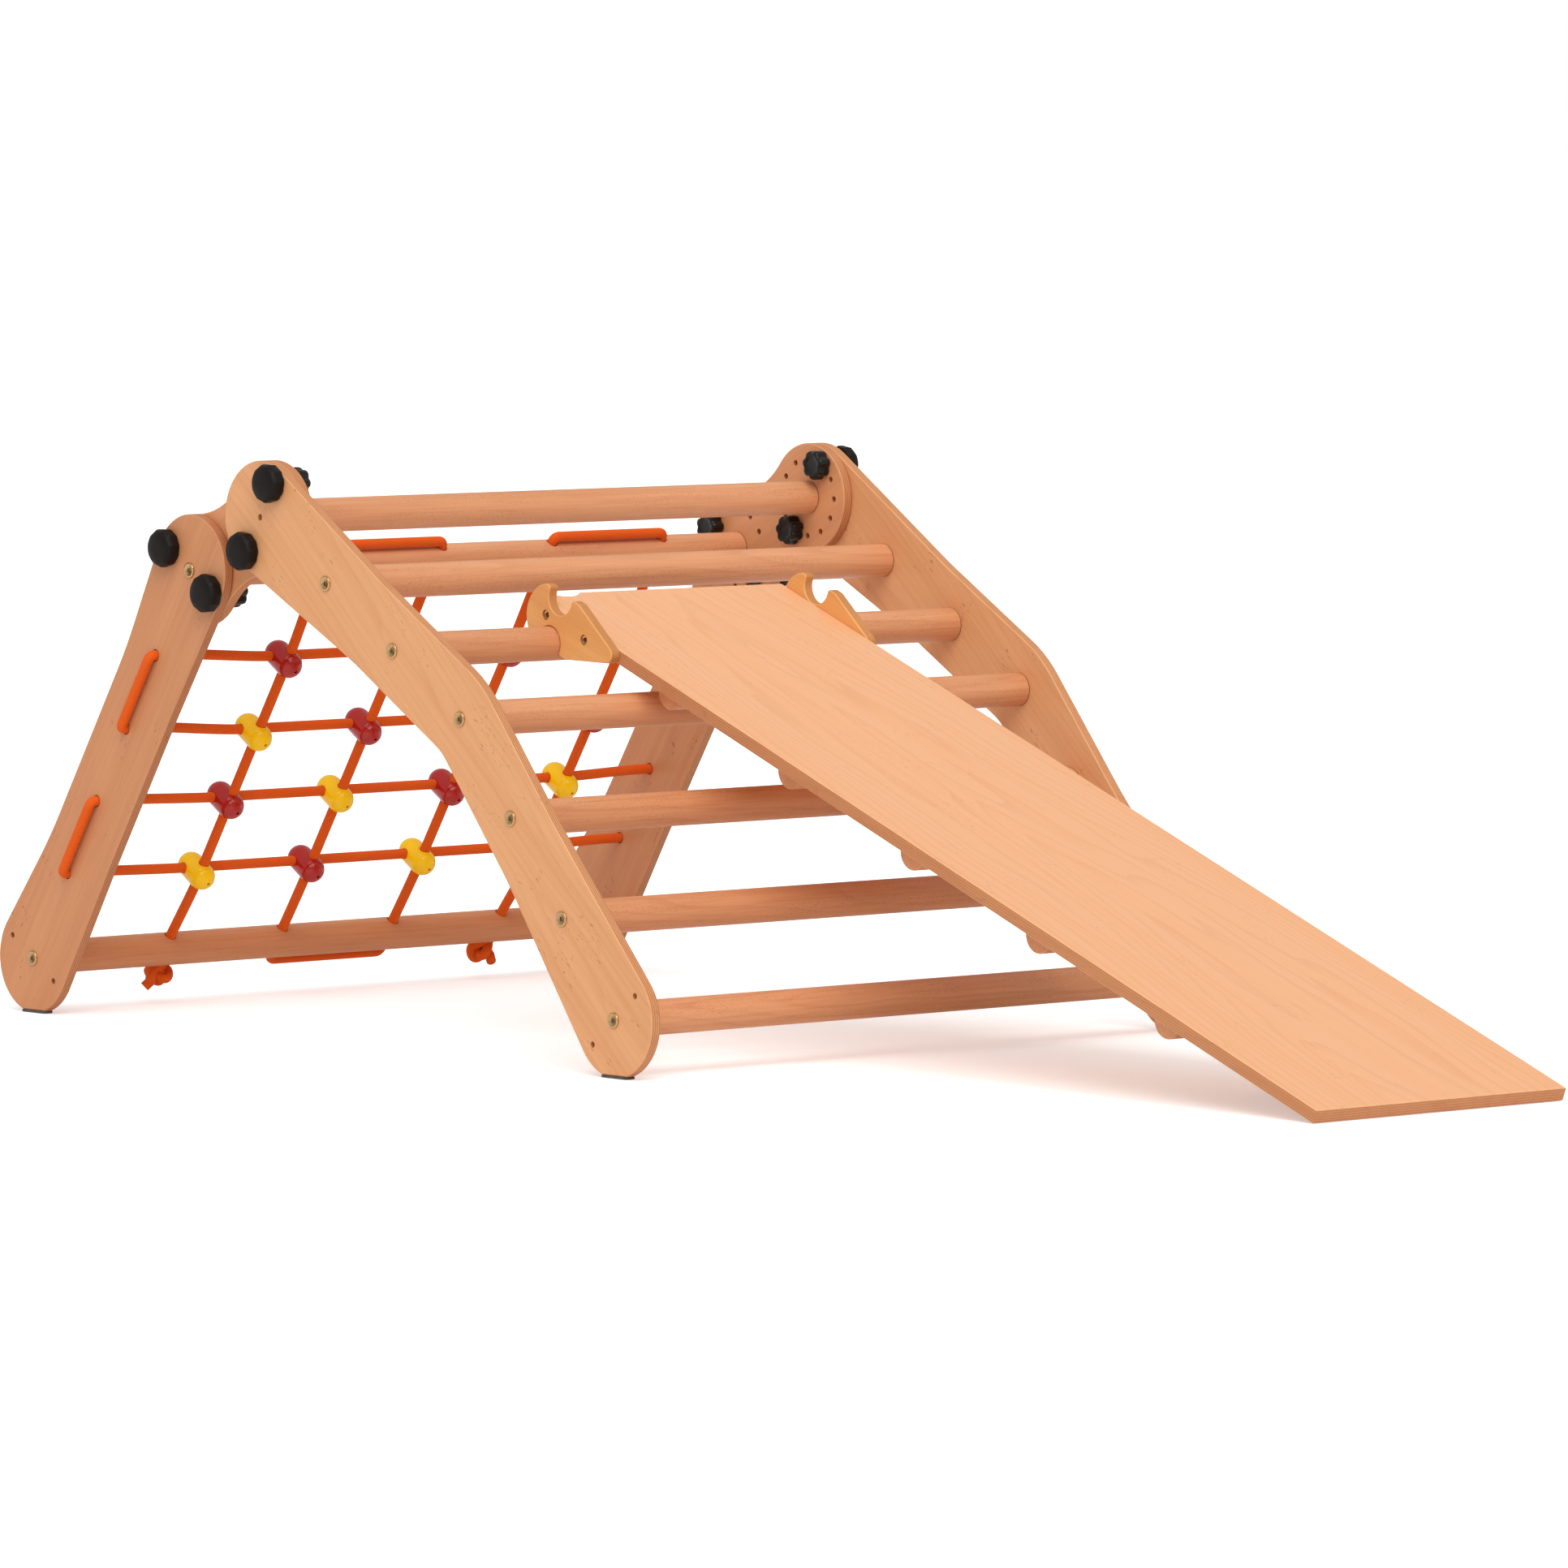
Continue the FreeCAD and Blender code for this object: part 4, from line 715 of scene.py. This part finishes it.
# flat furniture screw head: rounded rim, shallow dish and a six-sided socket
def screwForm(name, shape):
    top = shape["headHeight"]
    dishFloor = top - shape["dishDepth"]

    def radiusAt(radius, hexagonal, angle):
        return radius * (shape["socket"] / cos((angle % (pi / 3)) - pi / 6)) if hexagonal else radius

    profile = [
        (shape["rim"] * 0.98, 0.0, False), (shape["rim"], top * 0.25, False), (shape["rim"], top * 0.6, False),
        (shape["rim"] * 0.975, top * 0.86, False), (shape["rim"] * 0.93, top, False),
        (shape["dish"] * 1.12, top, False), (shape["dish"] * 1.03, top - shape["dishDepth"] * 0.3, False),
        (shape["dish"] * 0.95, dishFloor, False), (1.06, dishFloor, True), (1.0, dishFloor - 0.0002, True),
        (1.0, dishFloor - shape["socketDepth"], True),
    ]
    head = bmesh.new()
    skinRings(head, profile, shape["steps"], radiusAt)
    mesh = meshOf(name, head)

    # painted shade: dark in the socket, a little darker over the dish
    def shadeOf(at):
        reach = hypot(at.x, at.y)
        if at.z < dishFloor - 0.0001 and reach < shape["dish"] * 0.8:
            return 1.0
        return 0.2 if reach < shape["dish"] * 0.99 else 0.0

    markPaintedShade(mesh, shadeOf)
    return mesh


def sideFaces(axes, reach):
    return [(Vector((side * reach, axis.y, axis.z)), Vector((side, 0, 0))) for axis in axes for side in (-1, 1)]


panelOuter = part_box("front_side_panel_right")[1][0]
screwSets = {
    "front": ("front_frame", "front_rung_screws", [frontAxes[number] for number in range(2, 8)]),
    "rear": ("rear_frame", "rear_rung_screws", [rearTop, rearBottom]),
}
for end, (body, node, axes) in screwSets.items():
    form = screwForm("rungScrew", screwShape)
    heads = placeCopies(end + "_screw_heads", form, sideFaces(axes, panelOuter), materials["screw heads"],
                        copySettings["anyTurn"])
    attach(heads, body)
    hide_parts(node)
hookScrews = {"face": 0.007, "middle": 0.0258, "heights": (0.015, -0.050)}
hookFace = hookInner + hookScrews["face"]
hookMiddle = slideOut * hookScrews["middle"]
hookPlaces = [(Vector((side * hookFace, 0, 0)) + slideAxis + slideUp * up + hookMiddle, Vector((side, 0, 0)))
              for side in (-1, 1) for up in hookScrews["heights"]]
hookHeads = placeCopies("hook_screw_heads", screwForm("hookScrew", hookScrewShape), hookPlaces,
                        materials["screw heads"], copySettings["anyTurn"])
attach(hookHeads, "slide")
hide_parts("slide_hook_screws")
print("stage: screws")


netLayout = {
    "rowStart": 0.109, "rowPitch": 0.0945, "rows": 4, "columnPitch": 0.156, "columnShift": 0.019, "columns": 4,
    "cross": 0.013, "lift": 0.007, "ropeRadius": 0.0055,
    "aside": (-0.007, -0.011, -0.010, -0.003), "drop": (0.008, 0.009, 0.004, 0.003),
}
rungRadius = (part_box("rear_top_rung")[1][2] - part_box("rear_top_rung")[0][2]) / 2
netReach = (rearBottom - rearTop).length


def netPoint(x, down, out):
    return Vector((x, 0, 0)) + Vector((0, rearTop.y, rearTop.z)) + rearDown * down + rearOut * out


def columnX(column):
    return (column - (netLayout["columns"] - 1) / 2) * netLayout["columnPitch"] + netLayout["columnShift"]


def rowPlace(row):
    return netLayout["rowStart"] + row * netLayout["rowPitch"]


# the net is slack, so its crossings hang lower than the panel holes and to one side of the rung holes
def heldColumn(column):
    return columnX(column) + netLayout["aside"][column]


def heldRow(row):
    return rowPlace(row) + netLayout["drop"][row]


# plaited rope swept along a curve: alternate points stand proud, and the UV counts metres and turns
def buildRopeTree():
    tree, entry, leave = newTree("plaitedRope", [("Radius", "Float"), ("Spacing", "Float"), ("Sides", "Int"),
                                                 ("Lump", "Float"), ("Finish", "Material")])
    out = entry.outputs
    sampled = add(tree, "GeometryNodeResampleCurve", {"Curve": out["Geometry"], "Length": out["Spacing"]},
                  mode="LENGTH")
    ring = add(tree, "GeometryNodeCurvePrimitiveCircle", {"Resolution": out["Sides"], "Radius": out["Radius"]})
    tube = add(tree, "GeometryNodeCurveToMesh", {"Curve": sampled.outputs[0], "Profile Curve": ring.outputs[0],
                                                 "Fill Caps": True})
    index = add(tree, "GeometryNodeInputIndex").outputs[0]
    row = calc(tree, "FLOOR", calc(tree, "DIVIDE", index, out["Sides"]))
    side = calc(tree, "FLOORED_MODULO", index, out["Sides"])
    parity = calc(tree, "FLOORED_MODULO", calc(tree, "ADD", row, side), 2.0)
    push = calc(tree, "MULTIPLY", calc(tree, "SUBTRACT", parity, 0.65), out["Lump"])
    normal = add(tree, "GeometryNodeInputNormal").outputs[0]
    offset = add(tree, "ShaderNodeVectorMath", {0: normal}, operation="SCALE")
    setOrLink(tree, offset.inputs["Scale"], push)
    moved = add(tree, "GeometryNodeSetPosition", {"Geometry": tube.outputs[0], "Offset": offset.outputs[0]})
    corner = add(tree, "GeometryNodeVertexOfCorner").outputs[0]
    face = add(tree, "GeometryNodeFaceOfCorner").outputs[0]
    cornerRow = calc(tree, "FLOOR", calc(tree, "DIVIDE", corner, out["Sides"]))
    cornerSide = calc(tree, "FLOORED_MODULO", corner, out["Sides"])
    faceSide = calc(tree, "FLOORED_MODULO", face, out["Sides"])
    lastFace = calc(tree, "GREATER_THAN", faceSide, calc(tree, "SUBTRACT", out["Sides"], 1.5))
    firstSide = calc(tree, "LESS_THAN", cornerSide, 0.5)
    wrap = calc(tree, "MULTIPLY", calc(tree, "MULTIPLY", lastFace, firstSide), out["Sides"])
    turn = calc(tree, "DIVIDE", calc(tree, "ADD", cornerSide, wrap), out["Sides"])
    along = calc(tree, "MULTIPLY", cornerRow, out["Spacing"])
    uv = add(tree, "ShaderNodeCombineXYZ", {"X": along, "Y": turn})
    store = add(tree, "GeometryNodeStoreNamedAttribute", data_type="FLOAT2", domain="CORNER")
    connect(tree, moved.outputs[0], store.inputs["Geometry"])
    store.inputs["Name"].default_value = "UVMap"
    connect(tree, uv.outputs[0], store.inputs["Value"])
    shade = add(tree, "GeometryNodeSetShadeSmooth", {"Geometry": store.outputs[0]})
    real = add(tree, "GeometryNodeRealizeInstances", {0: shade.outputs[0]})
    finish = add(tree, "GeometryNodeSetMaterial", {"Geometry": real.outputs[0], "Material": out["Finish"]})
    connect(tree, finish.outputs[0], leave.inputs[0])
    return tree


plaitedRope = buildRopeTree()


def ropeCurve(name, points):
    curve = bpy.data.curves.new(name, "CURVE")
    curve.dimensions = "3D"
    spline = curve.splines.new("NURBS")
    spline.points.add(len(points) - 1)
    for point, place in zip(spline.points, points):
        point.co = (*place, 1)
    spline.order_u = 3
    spline.use_endpoint_u = True
    spline.resolution_u = ropeWeave["resolution"]
    return newObject(name, curve)


def makeRope(name, points):
    return runTree(ropeCurve(name + "_route", points), plaitedRope, {
        "Radius": netLayout["ropeRadius"], "Spacing": ropeWeave["spacing"], "Sides": ropeWeave["sides"],
        "Lump": ropeWeave["lump"], "Finish": materials["rope"]}, name)


# how far from each hole or crossing the ropes start to bend, in metres
ropeBends = {
    "hole": 0.012, "slant": 0.028, "dip": 0.002, "lean": 0.12, "bead": 0.018, "beadClear": 0.05, "stitch": 0.015,
    "panelClear": 0.03, "skin": 0.004, "sideStitch": 0.014, "end": 0.006,
}


# up and down through the two rear rungs, inside the connectors' lower halves
def uprightRoute():
    bends = ropeBends
    lift = rungRadius + netLayout["lift"]
    cross = netLayout["cross"]
    first, last = heldRow(0), heldRow(netLayout["rows"] - 1)
    points = []
    for column in range(netLayout["columns"]):
        x, held = columnX(column), heldColumn(column)
        nearly = x + bends["lean"] * (held - x)
        legPlaces = [
            (x, netReach + lift, 0), (x, netReach + bends["hole"], 0), (x, netReach - bends["hole"], 0),
            (nearly, netReach - bends["slant"], -bends["dip"]), (held, last + bends["bead"], -cross),
            (held, last, -cross), (held, last - bends["beadClear"], -cross),
            (held, first + bends["beadClear"], -cross), (held, first, -cross),
            (held, first - bends["bead"], -cross), (nearly, bends["slant"], -bends["dip"]),
            (x, bends["hole"], 0), (x, -bends["hole"], 0), (x, -lift, 0),
        ]
        leg = [netPoint(*place) for place in legPlaces]
        points += leg if column % 2 == 0 else leg[::-1]
        if column < netLayout["columns"] - 1:
            level = -lift if column % 2 == 0 else netReach + lift
            points += [netPoint(x + bends["stitch"], level, 0),
                       netPoint(columnX(column + 1) - bends["stitch"], level, 0)]
    for index, column in ((0, 0), (-1, netLayout["columns"] - 1)):
        points[index] = netPoint(columnX(column), netReach + rungRadius + bends["end"], 0)
    return points


# to and fro through the rear panels, inside the connectors' upper halves
def crossRoute():
    bends = ropeBends
    out = panelOuter + netLayout["lift"]
    outerColumns = {1: heldColumn(netLayout["columns"] - 1), -1: heldColumn(0)}
    points = []
    for row in range(netLayout["rows"]):
        down, held = rowPlace(row), heldRow(row)
        ends = (1, -1) if row % 2 == 0 else (-1, 1)
        for end in ends:
            leaving = end == ends[1]
            x = outerColumns[end]
            nearPlaces = [
                (x, held), (x + end * bends["panelClear"], held), (end * (panelInner - bends["panelClear"]), down),
                (end * (panelInner - bends["skin"]), down), (end * (panelOuter - bends["skin"]), down),
                (end * out, down),
            ]
            near = [netPoint(across, low, 0) for across, low in nearPlaces]
            points += near if leaving else near[::-1]
        if row < netLayout["rows"] - 1:
            side = ends[1] * out
            points += [netPoint(side, down + bends["sideStitch"], 0),
                       netPoint(side, rowPlace(row + 1) - bends["sideStitch"], 0)]
    for index, row in ((0, 0), (-1, netLayout["rows"] - 1)):
        points[index] = netPoint(panelOuter + bends["end"], rowPlace(row), 0)
    return points


for name, route, node in (("upright_net_rope", uprightRoute(), "net_upright_rope"),
                          ("cross_net_rope", crossRoute(), "net_cross_rope")):
    made = makeRope(name, route)
    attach(made, "rear_frame")
    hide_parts(node)
    print("stage:", name, len(made.data.polygons), "faces")

# an overhand stopper knot with its short tail, pressed against the wood
knotShape = {
    "size": 0.0045, "flat": 0.72, "thick": 1.45, "turns": 30, "start": 0.45, "lead": 0.006, "aside": 0.004,
    "below": 0.0165, "beside": 0.0095, "tail": 0.0065, "sideTail": 0.010,
}


def knotRoute(base, side, facing, away, drop, tail):
    other = facing.cross(side).normalized()
    size = knotShape["size"]
    middle = base + away * drop
    points = [base - away * knotShape["lead"], base]
    for step in range(knotShape["turns"] + 1):
        t = knotShape["start"] + (2 * pi - 2 * knotShape["start"]) * step / knotShape["turns"]
        x = sin(t) + 2 * sin(2 * t)
        y = (cos(t) - 2 * cos(2 * t)) * knotShape["flat"]
        z = -sin(3 * t) * knotShape["thick"]
        points.append(middle + (side * x + other * y + facing * z) * size)
    points.append(points[-1] + tail * 0.5)
    points.append(points[-1] + tail)
    return points


knotPlaces = []
viewSide = (-rearOut * 0.75 + rearDown * 0.65).normalized()
for column, turn in ((0, 1), (netLayout["columns"] - 1, -1)):
    base = netPoint(columnX(column), netReach + rungRadius, 0)
    side = Vector((turn, 0, 0))
    tail = (rearDown * 0.8 - side * 0.6) * knotShape["tail"]
    knotPlaces.append((base + side * knotShape["aside"], side, viewSide, rearDown, knotShape["below"], tail))
for row in (0, netLayout["rows"] - 1):
    base = netPoint(panelOuter, rowPlace(row), 0)
    knotPlaces.append((base, rearDown, rungAcross, rungAcross, knotShape["beside"], rearDown * knotShape["sideTail"]))
for count, place in enumerate(knotPlaces, start=1):
    made = makeRope(f"stopper_knot_{count}", knotRoute(*place))
    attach(made, "rear_frame")
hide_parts("net_rope_knots")
print("stage: knots")

connectorShape = {
    "radius": 0.0145, "length": 0.050, "middle": -0.0065, "hole": 0.0059, "tipHole": 0.0018, "tipDepth": 0.006,
    "rim": 0.0005, "rimAngle": 35, "steps": 72, "arcs": 14, "skin": 0.0012, "cutter": 0.04, "cutterSteps": 40,
}


def plainRadius(radius, depth, angle):
    return radius


def roundBar(radius, reach, along, place):
    mesh = ringShell("cutter", [(radius, -reach, 0), (radius, reach, 0)], connectorShape["cutterSteps"], plainRadius)
    standAt(mesh, place, along)
    return newObject("cutter", mesh)


# one bead: a capsule along its own Z, bored across for the level rope, across again lower down for the upright one,
# with a short small hole in its tip
def connectorForm():
    shape = connectorShape
    radius, straight = shape["radius"], shape["length"] / 2 - shape["radius"]
    arcs = shape["arcs"]
    angles = [pi / 2 * (step + 0.4) / arcs for step in range(arcs)]
    lower = [(radius * sin(angle), -straight - radius * cos(angle), 0) for angle in angles]
    upper = [(size, -height, 0) for size, height, depth in reversed(lower)]
    rings = lower + [(radius, -straight, 0), (radius, 0, 0), (radius, straight, 0)] + upper
    bead = newObject("bead", ringShell("bead", rings, shape["steps"], plainRadius))
    bead.data.transform(Matrix.Translation((0, 0, shape["middle"])))
    tip = shape["middle"] - shape["length"] / 2
    cutters = [roundBar(shape["hole"], shape["cutter"], (1, 0, 0), Vector((0, 0, 0))),
               roundBar(shape["hole"], shape["cutter"], (0, 1, 0), Vector((0, 0, -netLayout["cross"]))),
               roundBar(shape["tipHole"], shape["tipDepth"], (0, 0, 1), Vector((0, 0, tip)))]
    for cutter in cutters:
        bore = bead.modifiers.new("bore", "BOOLEAN")
        bore.operation = "DIFFERENCE"
        bore.solver = "EXACT"
        bore.object = cutter
    rim = bead.modifiers.new("rim", "BEVEL")
    rim.width = shape["rim"]
    rim.segments = 2
    rim.limit_method = "ANGLE"
    rim.angle_limit = radians(shape["rimAngle"])
    graph = bpy.context.evaluated_depsgraph_get()
    graph.update()
    mesh = bpy.data.meshes.new_from_object(bead.evaluated_get(graph))
    smooth(mesh)

    # painted shade inside the bored holes
    def boreShadeOf(at):
        inside = min(max(abs(at.z - shape["middle"]) - straight, 0), radius)
        return 1.0 if hypot(at.x, at.y) < sqrt(max(radius ** 2 - inside ** 2, 0)) - shape["skin"] else 0.0

    markPaintedShade(mesh, boreShadeOf)
    for piece in cutters + [bead]:
        bpy.data.objects.remove(piece)
    return mesh


connectorMesh = connectorForm()
for parity, color in ((0, "red"), (1, "yellow")):
    places = [(netPoint(heldColumn(column), heldRow(row), 0), rearOut) for row in range(netLayout["rows"])
              for column in range(netLayout["columns"]) if (row + column) % 2 == parity]
    beads = placeCopies(f"net_beads_{color}", connectorMesh.copy(), places, materials[color], 0.0)
    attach(beads, "rear_frame")
    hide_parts("net_connectors_" + color)
    print("stage:", color, "connectors", len(beads.data.polygons), "faces")

floorShape = {"half": 60.0, "below": 0.0005, "color": (0.98, 0.98, 0.98, 1), "glow": 0.34}
floorMesh = bpy.data.meshes.new("studioFloor")
half = floorShape["half"]
floorMesh.from_pydata([(-half, -half, 0), (half, -half, 0), (half, half, 0), (-half, half, 0)], [], [(0, 1, 2, 3)])
floorMesh.transform(Matrix.Translation((0, 0, -floorShape["below"])))
floor = newObject("studio_floor", floorMesh)
floorMaterial, floorTree, floorShader = newMaterial("studioFloorPale")
floorShader.inputs["Base Color"].default_value = floorShape["color"]
floorShader.inputs["Roughness"].default_value = 1.0
floorShader.inputs["Specular IOR Level"].default_value = 0.0
# the floor looks a little brighter than it lights, so that the shadows stay faint
seen = floorTree.nodes.new("ShaderNodeLightPath").outputs["Is Camera Ray"]
floorShader.inputs["Emission Color"].default_value = floorShape["color"]
connect(floorTree, calc(floorTree, "MULTIPLY", seen, floorShape["glow"]), floorShader.inputs["Emission Strength"])
floorMesh.materials.append(floorMaterial)

# an even white room, dimmer as a light than it looks, and one broad soft sun from the front left
studio = {
    "room": (1.0, 1.0, 1.0, 1), "roomLight": 0.60, "sun": 1.80, "sunFrom": (-0.40, -0.52, 0.78), "sunWidth": 50,
}
world = bpy.data.worlds.new("studio")
bpy.context.scene.world = world
world.use_nodes = True
background = world.node_tree.nodes["Background"]
background.inputs["Color"].default_value = studio["room"]
sight = world.node_tree.nodes.new("ShaderNodeLightPath")
level = calc(world.node_tree, "MULTIPLY_ADD", sight.outputs["Is Camera Ray"], 1 - studio["roomLight"],
             studio["roomLight"])
connect(world.node_tree, level, background.inputs["Strength"])
sunData = bpy.data.lights.new("studio_sun", "SUN")
sunData.energy = studio["sun"]
sunData.angle = radians(studio["sunWidth"])
sun = newObject("studio_sun", sunData)
sun.rotation_euler = Vector(studio["sunFrom"]).to_track_quat("Z", "Y").to_euler()
bpy.context.scene.view_settings.view_transform = "Standard"

cameraView = {
    "azimuth": -41.7067, "elevation": 4.0214, "roll": 0.126, "distance": 11.09135, "aside": -0.046536,
    "above": 0.272108, "lens": 245.29, "sensor": 36, "reach": 300,
}


def placeCamera(values):
    azimuth, elevation, roll = (radians(values[label]) for label in ("azimuth", "elevation", "roll"))
    back = Vector((sin(azimuth) * cos(elevation), -cos(azimuth) * cos(elevation), sin(elevation)))
    flat = Vector((cos(azimuth), sin(azimuth), 0))
    lifted = back.cross(flat)
    right = flat * cos(roll) + lifted * sin(roll)
    up = lifted * cos(roll) - flat * sin(roll)
    data = bpy.data.cameras.new("viewCamera")
    data.lens = values["lens"]
    data.sensor_width = values["sensor"]
    data.clip_end = values["reach"]
    camera = newObject("viewCamera", data)
    place = back * values["distance"] + right * values["aside"] + up * values["above"]
    camera.matrix_world = Matrix.Translation(place) @ Matrix((right, up, back)).transposed().to_4x4()
    bpy.context.scene.camera = camera


placeCamera(cameraView)
print("stage: floor, light and camera")
